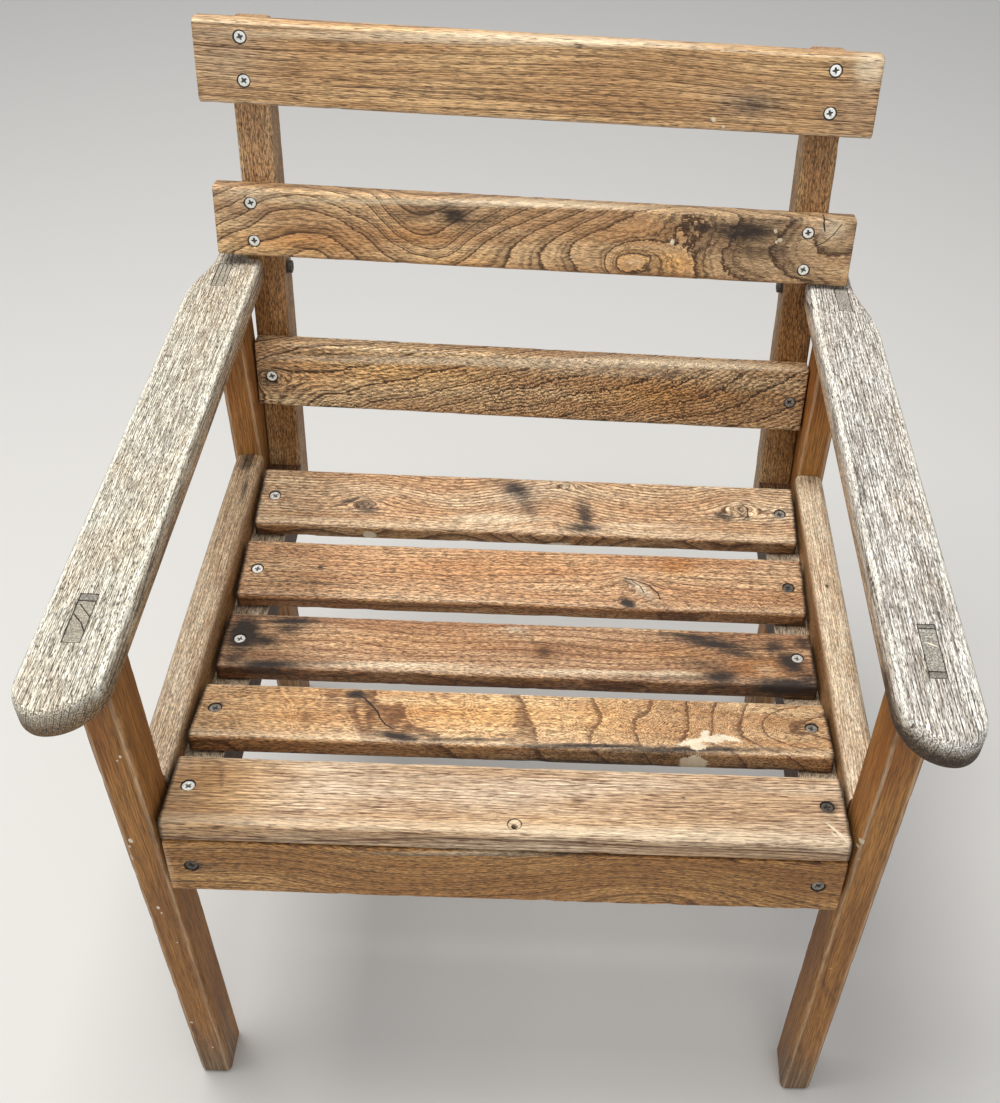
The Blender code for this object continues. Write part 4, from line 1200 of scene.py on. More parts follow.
SEAT_LOOK_5 = Look(
    seat_wood(5, ring_line=0.85, ring_width=0.75, ring_edge=0.35, ring_fine=0.3, pores=0.55,
        mottle=0.46, light=srgb(248, 220, 180), middle=srgb(216, 172, 128)),
    Grain(25, ring=3.4, sway=0.35, sway_length=90.0,
        bends=(Bend(-75, 3, 42, 70, -8), Bend(22, 7, 34, 60, 10), Bend(128, 1, 46, 60, -10),
            Bend(-215, 3, 40, 60, -3)),
        knots=(Knot(-157, -8, 10, 8, 25, 0.9), Knot(208, 2, 6, 11, 10, 0.3),
            Knot(36, 26, 8, 5, 0, 0.2))),
    marks(STAIN_AND_SHADE, (-172, -3, 24, 3, 0.75, 28), (-152, -15, 12, 6, 0.7), (-140, 1, 12, 3, 0.45, 50),
        (-12, 19, 20, 13, 0.85, -35), (-4, 3, 26, 10, 0.65, -60), (55, -9, 10, 26, 0.8, 10),
        (52, -27, 22, 7, 0.9), (190, -5, 12, 6, 0.85), (214, -5, 2, 6, 0.8), (-30, 29, 30, 4, 0.4))
    + marks(GREY, (208, 2, 7, 11, 1.0, 10), (36, 26, 10, 6, 0.9), (-5, 11, 34, 24, 0.75),
        (240, -3, 20, 20, 0.5), (-157, -8, 13, 9, 0.9, 25))
    + marks(WEAR_AND_HIGHLIGHT, (-30, -19, 55, 8, 0.75), (110, -21, 70, 4, 0.6))
    + marks(DEEP, (-205, 13, 40, 18, 0.25), (-220, -23, 40, 5, 0.4))
    + marks(PAINT, (-151, -36, 6, 4.5, 1.4, 0, -2), (32, -36, 12, 2, 1.1, 0, -5)),
    (Crack(((209, 12), (214, 6), (214, -3), (209, -9)), 0.6, 0.6),),
    arris_wear_and_highlight=0.4, side_shade=0.8, front_wear_and_highlight=0.45, end_gap_shade=0.8)
SEAT_LOOKS = {1: SEAT_LOOK_1, 2: SEAT_LOOK_2, 3: SEAT_LOOK_3, 4: SEAT_LOOK_4, 5: SEAT_LOOK_5}

# The apron's wear strip along its top edge is partly painted highlight, and its darker edges and back are
# painted shade.
APRON_LOOK = Look(
    replace(OILED, name="oiled wood, apron", light=srgb(234, 184, 120), middle=srgb(190, 138, 82),
        dark=srgb(84, 52, 28), ring_line=0.5, ring_width=0.45, gather=0.4, ring_fine=0.7, grain_length=5.0,
        mottle=0.34, seed=2.9),
    Grain(31, pith_y=-180.0, ring=9.0, sway=0.6, slope_y=-0.03,
        bends=(Bend(120, -6, 80, 50, 20), Bend(-60, 10, 90, 60, -8), Bend(-190, 0, 60, 60, 8))),
    marks(STAIN_AND_SHADE, (0, 26, 270, 2.5, 0.55), (-238, 2, 9, 7, 0.8), (-228, 0, 14, 6, 0.5), (60, -27, 220, 2, 0.3),
        (-150, 14, 50, 1.4, 0.4, 10), (60, 10, 90, 1.4, 0.35, -3))
    + marks(DEEP, (190, 0, 110, 60, 0.55), (-250, 0, 14, 40, 0.4))
    + marks(WEAR_AND_HIGHLIGHT, (-30, 26, 90, 2.5, 0.8), (-258, 0, 2.5, 40, 0.5)),
    side_shade=0.4, whole_deep=0.15)

MIDDLE_RINGS = ring_paths(
    (-2, (-135, 22), (-124, 10), (-110, 0), (-92, -2), (-79, 7)),
    (-1, (-160, 30), (-146, 21), (-136, 9), (-123, -4), (-108, -13), (-93, -16), (-80, -12), (-66, 0)),
    (0, (-286, -5), (-257, 10), (-232, 25), (-206, 28), (-186, 23), (-165, 14), (-141, 2), (-120, -14),
     (-99, -22), (-77, -19), (-62, -6), (-36, 11), (-8, 26)),
    (1, (-275, -10), (-238, 12), (-216, 16), (-194, 15), (-174, 9), (-155, -4), (-138, -19), (-118, -30),
     (-79, -31), (-56, -18), (-45, -6), (-31, 5), (-8, 16)),
    (2, (-235, -12), (-217, -5), (-199, -6), (-181, -10), (-168, -20), (-159, -29), (-32, -31), (-28, -15),
     (-17, -2), (3, 10), (24, 19), (43, 28)),
    (3, (-223, -28), (-213, -22), (-196, -22), (-185, -28), (6, -30), (2, -16), (12, -3), (29, 8), (44, 17),
     (59, 26)),
    (4, (36, -30), (29, -14), (33, -2), (50, 9), (69, 20), (85, 29)),
    (5, (68, -29), (62, -17), (67, -6), (78, 0), (95, 3), (111, 5), (120, 13), (130, 26), (149, -28),
     (146, -14), (141, -4), (149, 10), (154, 24)),
    (6, (73, -24), (75, -11), (90, -7), (106, -9), (110, -19), (97, -28)),
    (4, (205, -31), (184, -22), (171, -10), (178, 8), (184, 26)),
    (3, (252, -28), (226, -14), (214, 0), (222, 16), (232, 30)),
    (2, (270, 29), (262, 20), (251, 14)),
)
LOW_RINGS = ring_paths(
    (0, (-262, -25), (-235, 1), (-205, 15), (-160, 24)),
    (1, (-228, -31), (-185, -10), (-165, -1), (-119, 12), (-96, 19), (-66, 27)),
    (2, (-191, -29), (-164, -21), (-116, -10), (-66, 5), (-42, 14), (-19, 23)),
    (3, (-132, -29), (-84, -17), (-31, 1), (10, 14), (47, 23), (71, 30)),
    (4, (-66, -28), (8, -9), (33, 0), (57, 6), (78, 13), (95, 21), (112, 29)),
    (5, (20, -25), (75, -8), (97, -3), (114, 5), (128, 14), (143, 23)),
    (6, (60, -27), (115, -7), (142, -1), (160, 6), (173, 16), (186, 25)),
    (7, (115, -23), (152, -15), (179, -9), (191, -2), (204, 10), (224, 24)),
    (8, (172, -29), (199, -20), (221, -13), (233, -2), (250, 9), (261, 17)),
)
# In the back slats' looks, the wear strips along the top edges and the wear on the top arris are partly painted
# highlight, and the darker edges and backs are painted shade.
BACK_LOOK_TOP = Look(
    back_wood("top", 3.3, ring_line=0.6, ring_fine=0.55, hairs=0.6, mottle=0.27, streaks=0.36,
        grain_length=9.0, grain_width=0.75, pore_length=14.0, pore_width=0.7,
        pores=0.9, light=srgb(242, 200, 146), middle=srgb(208, 162, 112)),
    Grain(41, ring=7.0, sway=0.35, sway_length=260.0, bends=(Bend(60, 2, 120, 40, 3),)),
    marks(WEAR_AND_HIGHLIGHT, (20, 33, 290, 5, 1.0), (276, 26, 14, 16, 1.0), (-150, 24, 90, 3, 0.4))
    + marks(GREY, (-262, 12, 40, 40, 0.75), (179, -10, 30, 12, 0.8), (270, -8, 26, 30, 0.5))
    + marks(STAIN_AND_SHADE, (182, -10, 24, 8, 0.55), (-60, -15, 160, 1.4, 0.6, -1), (-30, -9, 150, 1.2, 0.45),
        (90, -22, 140, 1.4, 0.5), (60, 8, 130, 1.0, 0.35), (-180, -2, 60, 1.2, 0.35),
        (120, 16, 100, 1.0, 0.3), (-240, -26, 40, 2, 0.3))
    + marks(PAINT, (150, -24, 2.6, 2.2, 1.0), (159, -30, 1.8, 1.6, 1.0)),
    arris_wear_and_highlight=0.6, side_shade=0.3, end_grey=0.4)
BACK_LOOK_MIDDLE = Look(
    back_wood("middle", 4.1, ring_line=0.9, ring_width=0.7, ring_edge=0.12, ring_fine=0.9,
        fine_count=4.0, gather=0.75, mottle=0.32, pores=0.55, grain_length=5.5, streaks=0.5,
        light=srgb(246, 210, 160), middle=srgb(206, 162, 116)),
    Grain(42, ring=14.0, sway=0.06, sway_length=24.0, paths=MIDDLE_RINGS),
    marks(RIPPLE, (130, 0, 76, 50, 1.1), (10, -16, 60, 24, 0.5), (220, 0, 60, 40, 0.6), edge=4.0)
    + marks(GOLD, (90, -17, 17, 9, 1.2), (128, -17, 26, 11, 1.1), (-210, -16, 60, 14, 0.7),
        (-108, -4, 30, 9, 0.6), (-60, -26, 40, 9, 0.5), (110, 10, 60, 12, 0.5))
    + marks(WEAR_AND_HIGHLIGHT, (90, -17, 15, 8, 0.5), (20, 31, 280, 3.5, 0.9), (264, 22, 16, 10, 0.8),
        (-250, 27, 40, 4, 0.5))
    + marks(STAIN_AND_SHADE, (-72, 16, 18, 10, 0.85, -12), (-45, 12, 24, 5, 0.6, 30), (-110, 15, 28, 6, 0.5),
        (186, 16, 40, 12, 0.9), (150, 18, 24, 6, 0.7), (206, -2, 34, 10, 0.5), (150, -2, 18, 4, 0.6, 30),
        (225, -20, 30, 8, 0.4), (210, 26, 40, 5, 0.6))
    + marks(DEEP, (196, 4, 56, 36, 0.55), (-100, 12, 40, 12, 0.3), (30, -32, 280, 3, 0.5))
    + marks(GREY, (200, 6, 70, 30, 0.8), (-262, 14, 30, 20, 0.4), (-75, 20, 30, 8, 0.6))
    + marks(PAINT, (214, 18, 1.8, 1.8, 1.2), (219, 10, 2.4, 1.8, 1.2), (216, 8, 1.4, 1.4, 1.2),
        (123, 3, 1.8, 2.4, 1.2), (33, -16, 1.4, 1.0, 1.1)),
    (Crack(((256, 33), (256, 27), (258, 20)), 0.8, 1.0),
        Crack(((251, 6), (258, 9), (266, 17), (272, 27)), 0.5, 0.6)),
    arris_wear_and_highlight=0.3, side_shade=0.35)
BACK_LOOK_LOW = Look(
    back_wood("low", 5.6, ring_line=0.95, ring_width=0.3, ring_edge=0.12, ring_fine=0.95,
        fine_count=5.0, mottle=0.55, light=srgb(255, 226, 178), dark=srgb(70, 44, 26),
        middle=srgb(216, 172, 124)),
    Grain(43, ring=26.0, sway=0.05, sway_length=26.0, knots=(Knot(-251, -4, 14, 12, 0, 0.25),),
        paths=LOW_RINGS),
    marks(RIPPLE, (70, -7, 220, 60, 1.2), (-180, -29, 70, 10, 0.8), edge=4.0)
    + marks(GOLD, (-130, 9, 90, 14, 0.8), (120, -3, 60, 16, 0.9), (-200, 7, 40, 20, 0.5))
    + marks(WEAR_AND_HIGHLIGHT, (30, 27, 260, 5, 1.1), (100, 21, 120, 5, 0.5))
    + marks(STAIN_AND_SHADE, (-251, -4, 16, 14, 0.5), (-196, 23, 44, 2, 0.6, -4), (-215, 24, 20, 1.6, 0.6),
        (-190, 6, 3, 12, 0.5, 8), (-110, 12, 36, 3, 0.5, 12), (130, 21, 14, 6, 0.55), (195, 11, 24, 8, 0.4),
        (-195, -32, 16, 3, 0.9), (0, -34, 250, 2, 0.4))
    + marks(DEEP, (190, -3, 80, 30, 0.35), (-30, -34, 250, 3, 0.5)),
    arris_wear_and_highlight=0.4, side_shade=0.35)
BACK_LOOKS = {"top": BACK_LOOK_TOP, "middle": BACK_LOOK_MIDDLE, "low": BACK_LOOK_LOW}

LEG_WOOD = replace(OILED, name="oiled wood, legs", light=srgb(192, 135, 68), middle=srgb(148, 99, 47),
    dark=srgb(80, 50, 24), ring_line=0.3, ring_fine=0.25, mottle=0.15, pores=0.25, hairs=0.3,
    grain_length=20.0, grain_width=1.1, pore_length=14.0, streaks=0.6,
    grey=srgb(168, 152, 130), grey_low=srgb(118, 103, 84), greying=0.8, seed=6.2)
RAIL_WOOD = replace(OILED, name="weathered wood, rails", light=srgb(240, 206, 160), middle=srgb(206, 160, 112),
    dark=srgb(104, 66, 40), grey=srgb(255, 242, 216), grey_low=srgb(220, 192, 158),
    greying=0.86, ring_line=0.25, pore_length=6.0, pores=0.5, grain_length=4.5,
    mottle=0.34, seed=7.4)
STILE_WOOD = replace(OILED, name="oiled wood, stiles", light=srgb(255, 228, 184), middle=srgb(228, 184, 136),
    dark=srgb(96, 60, 34), ring_line=0.3, pore_length=5.0, mottle=0.42, seed=8.8)
DUSTY_WOOD = replace(OILED, name="dusty wood, bearers", slot="grey_wood", light=srgb(156, 112, 72),
    middle=srgb(112, 74, 44), dark=srgb(60, 38, 22), grey=srgb(206, 196, 178), seed=9.1)
BLEACHED_LEFT = Wood("bleached wood, left arm", "bleached_wood", srgb(222, 186, 136), srgb(186, 146, 98),
    srgb(84, 74, 60), grey=srgb(236, 234, 220), grey_low=srgb(170, 164, 148), greying=0.96,
    worn=srgb(250, 246, 232), ring_line=1.0, ring_fine=0.7, ring_width=0.2, ring_edge=0.16,
    fine_count=3.0, dashes=0.75, pores=0.95, hairs=0.3, pore_length=4.2, pore_width=0.7,
    mottle=0.4, grain_length=5.0, grain_width=0.75, streaks=0.5,
    relief=0.45, seed=10.3)
BLEACHED_RIGHT = replace(BLEACHED_LEFT, name="bleached wood, right arm", grey=srgb(244, 243, 238),
    grey_low=srgb(164, 160, 154), pore_length=5.0, fine_count=2.0, seed=11.9)
END_WOOD = Wood("end grain, tenons", "end_grain_wood", srgb(176, 168, 150), srgb(146, 138, 122),
    srgb(86, 78, 66), grey=srgb(178, 171, 157), grey_low=srgb(142, 135, 122), ring_line=0.3,
    ring_fine=0.2, pores=0.4, pore_length=0.9, pore_width=0.9, streaks=0.3, mottle=0.25,
    grain_length=1.2, grain_width=1.2, relief=0.3, seed=12.7)
WEDGE_WOOD = replace(END_WOOD, name="end grain, wedges", light=srgb(140, 136, 126), middle=srgb(110, 106, 98),
    grey=srgb(160, 156, 147), grey_low=srgb(118, 114, 106), mottle=0.4, seed=13.6)
RIGHT_END_WOOD = replace(END_WOOD, name="end grain, right tenons", grey=srgb(198, 196, 190),
    grey_low=srgb(150, 148, 143), mottle=0.45, grain_length=1.8, seed=14.2)
PEG_CRACKS = {
    "front_tenon_left": (Crack(((5.2, 7.1), (-1.5, -0.7), (-6.0, -9.4)), 0.5, 0.7),
        Crack(((3.9, 16.7), (-1.9, 9.7), (-6.0, 4.5)), 0.45, 0.7)),
    "arm_wedge_left_rear": (Crack(((5.5, -2.0), (-5.5, 1.8)), 0.3, 0.5),
        Crack(((5.5, -2.6), (-5.5, -0.6)), 0.3, 0.5), Crack(((2.0, 2.2), (-1.0, 0.4)), 0.3, 0.5)),
    "arm_wedge_right_front": (Crack(((-5.0, -2.4), (-1.5, 0.4), (4.5, 1.6)), 0.28, 0.4),),
    "rear_tenon_left": (Crack(((2.0, -18.0), (2.0, 17.0)), 0.45, 0.6),
        Crack(((-2.5, -12.0), (-2.0, 17.0)), 0.3, 0.5)),
}
PEG_MARKS = {
    "front_tenon_left": marks(STAIN_AND_SHADE, (3.0, -12.0, 6.0, 9.0, 0.3)),
    "front_tenon_right": marks(STAIN_AND_SHADE, (1.0, 12.0, 5.0, 6.0, 0.3))
    + marks(PAINT, (0.0, 5.5, 6.0, 0.6, 1.0, -28), (1.0, 12.5, 4.0, 0.5, 0.8, -5)),
}

ARM_LOOK_LEFT = Look(
    BLEACHED_LEFT, Grain(66, pith_y=-260.0, ring=3.9, sway=0.5, sway_length=260.0),
    marks(STAIN_AND_SHADE, (24, 6, 24, 13, 0.4), (-2, 14, 12, 12, 0.3), (60, -10, 50, 2, 0.45), (150, 6, 80, 2, 0.4),
        (230, -8, 70, 2, 0.45), (320, 4, 60, 2, 0.4), (520, 0, 30, 16, 0.4))
    + marks(GOLD, (440, -6, 120, 50, 1.0), (520, 0, 60, 40, 0.9))
    + marks(DEEP, (450, -10, 120, 50, 0.16), (535, 0, 20, 40, 0.4)),
    (Crack(((12, 20), (14, 8), (12, -6), (13, -16)), 0.35, 0.5),))
ARM_LOOK_RIGHT = Look(
    BLEACHED_RIGHT, Grain(76, pith_y=280.0, ring=4.2, sway=0.5, sway_length=260.0),
    marks(STAIN_AND_SHADE, (60, 14, 30, 12, 0.45), (20, -12, 26, 8, 0.4), (200, -22, 90, 4, 0.55),
        (60, -24, 40, 4, 0.5), (120, 10, 60, 3, 0.45), (300, 0, 60, 2, 0.4), (460, 0, 14, 6, 0.4))
    + marks(GOLD, (500, 0, 40, 30, 0.5)))
ARM_LOOKS = {"left": ARM_LOOK_LEFT, "right": ARM_LOOK_RIGHT}


# ---- seat

def lying(node: str, rise: float) -> Placing:
    """Placing of a seat slat that rises to the back by an angle in degrees."""
    angle = math.radians(rise)
    return Placing(tuple(middle_of(node)), (1.0, 0.0, 0.0), (0.0, math.cos(angle), math.sin(angle)),
                   (0.0, -math.sin(angle), math.cos(angle)))


def standing(node: str, lean: float, rack: float = 0.0) -> Placing:
    """Placing of an upright board.

    Args:
        node: the frame piece whose middle it shares.
        lean: how far its top leans back, in degrees.
        rack: how far it is turned in its own plane, in degrees.

    Returns:
        The placing.
    """
    angle, turn = math.radians(lean), math.radians(rack)
    up = np.array((0.0, math.sin(angle), math.cos(angle)))
    right = np.array((1.0, 0.0, 0.0))
    along = right * math.cos(turn) + up * math.sin(turn)
    across = up * math.cos(turn) - right * math.sin(turn)
    return Placing(tuple(middle_of(node)), tuple(along), tuple(across),
                   (0.0, -math.cos(angle), math.sin(angle)))


@dataclass
class Seat:
    """The five dished slats and the apron."""

    length: float = 520.0 * MM
    widths: tuple[float, ...] = (70.4 * MM, 67.6 * MM, 67.6 * MM, 67.6 * MM, 72.5 * MM)
    thickness: float = 18.5 * MM
    front_thickness: float = 21.8 * MM
    apron: Pair = (56.4 * MM, 18.5 * MM)
    rises: tuple[float, ...] = (-6.1, -9.9, -3.3, 5.4, 6.7)
    edge_round: float = 4.5 * MM
    bearer_x: Pair = (232.4 * MM, 263.6 * MM)
    bearer_middle: Pair = (370.0 * MM, 248.0 * MM)
    bearer_low: float = 334.0 * MM
    bearer_slope: float = 0.03

    def build(self) -> None:
        """Build the slats from the front, then the apron."""
        for index, rise in enumerate(self.rises):
            number = index + 1
            node = f"seat_slat_{number}"
            Board(node, (self.length, *self.slat(index)), lying(node, rise), SEAT_LOOKS[number],
                  screws=(f"seat_screw_{number}_left", f"seat_screw_{number}_right")).build()
        Board("front_apron", (self.length, *self.apron), standing("front_apron", -self.rises[0]),
              APRON_LOOK, edge_round=2.5 * MM, screws=("apron_screw_left", "apron_screw_right")).build()
        for side_name in SIDES:
            self.bearer(side_name)

    def slat(self, index: int) -> Pair:
        """Width and thickness of a slat."""
        return self.widths[index], self.front_thickness if index == 0 else self.thickness

    def top_outline(self) -> Array:
        """Trace a bearer's top, which follows the slats' undersides.

        Returns:
            Depths and heights, one row for each corner.
        """
        corners = []
        for index, rise in enumerate(self.rises):
            width, thickness = self.slat(index)
            placing = lying(f"seat_slat_{index + 1}", rise)
            inset = self.apron[1] + GAP if index == 0 else self.edge_round
            for y in (inset - width / 2, width / 2 - self.edge_round):
                corners.append(placing.to_chair(np.array(((0.0, y, -thickness / 2 - GAP),)))[0][1:])
        return np.array(corners)

    def bearer(self, side_name: str) -> None:
        """Build a bearer under the slats' ends: a ruled block whose top, bottom and ends are then set.

        Each point lies a share of the way from the bottom to the top, and from the apron's back to the
        stile's front at its own height.

        Args:
            side_name: left or right.
        """
        side, node = SIDES[side_name], f"seat_bearer_{side_name}"
        top = self.top_outline()
        front = float(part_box("front_leg_left")[0][1])
        xs = ruled_lines(*self.bearer_x, 2.6 * MM, 1.2 * MM, arcs=3)
        ys = ruled_lines(0.0, 1.0, 2.4 / 470.0)
        zs = ruled_lines(0.0, 1.0, 0.06, 0.02, arcs=2)
        points, quads = block_surface(xs, ys, zs)
        apron, stile = standing("front_apron", -self.rises[0]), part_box(f"back_stile_{side_name}")
        lean = math.tan(math.radians(Back().lean))
        share_y, share_z = points[:, 1].copy(), points[:, 2].copy()
        z = np.full(len(points), self.bearer_middle[0])
        for _ in range(6):
            behind = apron.to_chair(np.array(((0.0, 0.0, -self.apron[1] / 2 - GAP),)))[0]
            start = behind[1] - (z - behind[2]) * math.tan(math.radians(self.rises[0]))
            end = stile[0][1] + lean * (z - stile[0][2]) - GAP
            y = start + share_y * (end - start)
            low = self.bearer_low - self.bearer_slope * (y - front)
            z = low + share_z * (np.interp(y, top[:, 0], top[:, 1]) - low)
        points = np.stack((points[:, 0], y, z), axis=1)
        own = np.stack((points[:, 1], points[:, 2] - self.bearer_middle[0],
                        points[:, 0] - self.bearer_middle[1]), axis=1)
        made = Made(points, quads)
        made.take_grain(*Grain(50 if side < 0 else 51, pith_y=-200.0, ring=6.0).read(own))
        # Painted shade under the seat: the sides, and the top near the stile, take a deeper tone and a little
        # stain; the rest of the top is greyed and a little worn.
        behind = smooth(0.945, 0.955, share_y)
        above = smooth(0.9, 0.99, share_z) * (1.0 - 0.85 * behind)
        for kind, amount in ((GREY, 0.1 + 0.9 * above), (STAIN_AND_SHADE, 0.2 * (1.0 - above)), (WEAR_AND_HIGHLIGHT, 0.4 * above),
                             (DEEP, 1.0 - 0.9 * above)):
            made.mark(kind, amount)
        made.mirror(side)
        make_piece(node + "_board", made, DUSTY_WOOD, node)


# ---- back

@dataclass
class Back:
    """The three leaning slats, racked a little."""

    lean: float = math.degrees(math.atan(0.1941))
    rack: float = -math.degrees(math.asin(3.2 / 248.1))
    thickness: float = 20.1 * MM
    stile: Pair = (31.2 * MM, 38.3 * MM)
    slats: dict[str, Pair] = field(default_factory=lambda: {
        "low": (524.4 * MM, 66.0 * MM), "middle": (571.4 * MM, 62.8 * MM), "top": (575.2 * MM, 67.9 * MM)})

    def screws(self, name: str) -> tuple[str, ...]:
        """Names of a slat's screws."""
        places = ("",) if name == "low" else ("_upper", "_lower")
        return tuple(f"back_screw_{name}_{side}{place}" for side in SIDES for place in places)

    def build(self) -> None:
        """Build the slats."""
        for name, (length, width) in self.slats.items():
            node = f"back_slat_{name}"
            Board(node, (length, width, self.thickness), standing(node, self.lean, self.rack),
                  BACK_LOOKS[name], edge_round=3.5 * MM, screws=self.screws(name)).build()
        angle = math.radians(self.lean)
        up = (0.0, math.sin(angle), math.cos(angle))
        for side_name, side in SIDES.items():
            node = f"back_stile_{side_name}"
            low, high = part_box(node)
            length = (high[2] - low[2] - self.stile[1] * math.sin(angle)) / math.cos(angle)
            placing = Placing(tuple(middle_of(node)), up, (-1.0, 0.0, 0.0),
                              (0.0, -math.cos(angle), math.sin(angle)))
            end = length / MM / 2
            # Painted shade: the deeper tone over the lower part, round and below the arm, and the darker sides.
            # The foot is a little darker, and the top end greyed and worn.
            spots = (marks(STAIN_AND_SHADE, (-end, 0, 40, 30, 0.3)) + marks(GREY, (end, 0, 12, 40, 1.0))
                     + marks(WEAR_AND_HIGHLIGHT, (end, 0, 12, 40, 0.9)) + marks(DEEP, (-60, 0, 170, 60, 1.25), edge=3.0))
            # The right stile is also darker all over.
            seed, deep = (46, 0.0) if side < 0 else (47, 0.75)
            look = Look(STILE_WOOD, Grain(seed, ring=7.0, pith_y=160.0), spots, side_shade=0.85, whole_deep=deep)
            Board(node, (length, *self.stile), placing, look, edge_round=2.7 * MM, end_round=2.7 * MM).build()


# ---- side frames

RAIL_SLOPE = 0.0425
TENON_X = (274.6 * MM, 286.8 * MM)


@dataclass(frozen=True)
class ArmLine:
    """Heights along an arm, which falls to the back."""

    front: float
    top_at_front: float = 609.9 * MM
    slope: float = 0.0497
    thickness: float = 26.0 * MM

    def top(self, y: Array) -> Array:
        """Height of the arm's top."""
        return self.top_at_front - self.slope * (y - self.front)

    def under(self, y: Array) -> Array:
        """Height of the arm's underside."""
        return self.top(y) - self.thickness * math.hypot(1.0, self.slope)


@dataclass
class Leg(Board):
    """A leg, whose own x runs up and whose top is cut to the slope of the arm."""

    line: Optional[ArmLine] = None

    def place(self, points: Array) -> Array:
        """Stand the leg up, and stretch each fibre to the arm's underside above it.

        Args:
            points: own positions.

        Returns:
            Positions in the chair.
        """
        placed = self.placing.to_chair(points)
        share = points[:, 0] / self.size[0] + 0.5
        placed[:, 2] = share * (self.line.under(placed[:, 1]) - GAP)
        return placed


@dataclass
class Rail(Board):
    """A side rail, whose top edges are rounder than its lower ones, and which falls to the back."""

    outer_round: float = 9.0 * MM
    inner_round: float = 5.4 * MM
    lower_round: float = 3.2 * MM
    slope: float = RAIL_SLOPE
    side: float = 1.0

    def shape(self, points: Array) -> None:
        """Round each long edge with its own radius.

        Args:
            points: the block's points, which are changed.
        """
        half = np.array(self.size) / 2
        outer = points[:, 1] * self.side < 0
        upper = np.where(outer, self.outer_round, self.inner_round)
        reach = np.where(points[:, 2] < 0, self.lower_round, upper)[:, None]
        core = np.clip(points[:, 1:], reach - half[1:], half[1:] - reach)
        points[:, 1:] = core + drawn_round(points[:, 1:] - core, reach)

    def place(self, points: Array) -> Array:
        """Lay the rail along the chair, and shear it to its slope.

        Args:
            points: own positions.

        Returns:
            Positions in the chair.
        """
        placed = self.placing.to_chair(points)
        placed[:, 2] -= self.slope * (placed[:, 1] - self.placing.origin[1])
        return placed


def with_lines(lines: Array, extra: Sequence[float], clear: float = 0.35 * MM) -> Array:
    """Put extra lines at exact positions, in place of any that lie too near them.

    Args:
        lines: rising positions.
        extra: the positions to add.
        clear: how near is too near.

    Returns:
        Rising positions.
    """
    wanted = np.array(sorted(extra))
    keep = np.abs(lines[:, None] - wanted[None]).min(axis=1) > clear
    keep[[0, -1]] = True
    return np.unique(np.concatenate((lines[keep], wanted)))


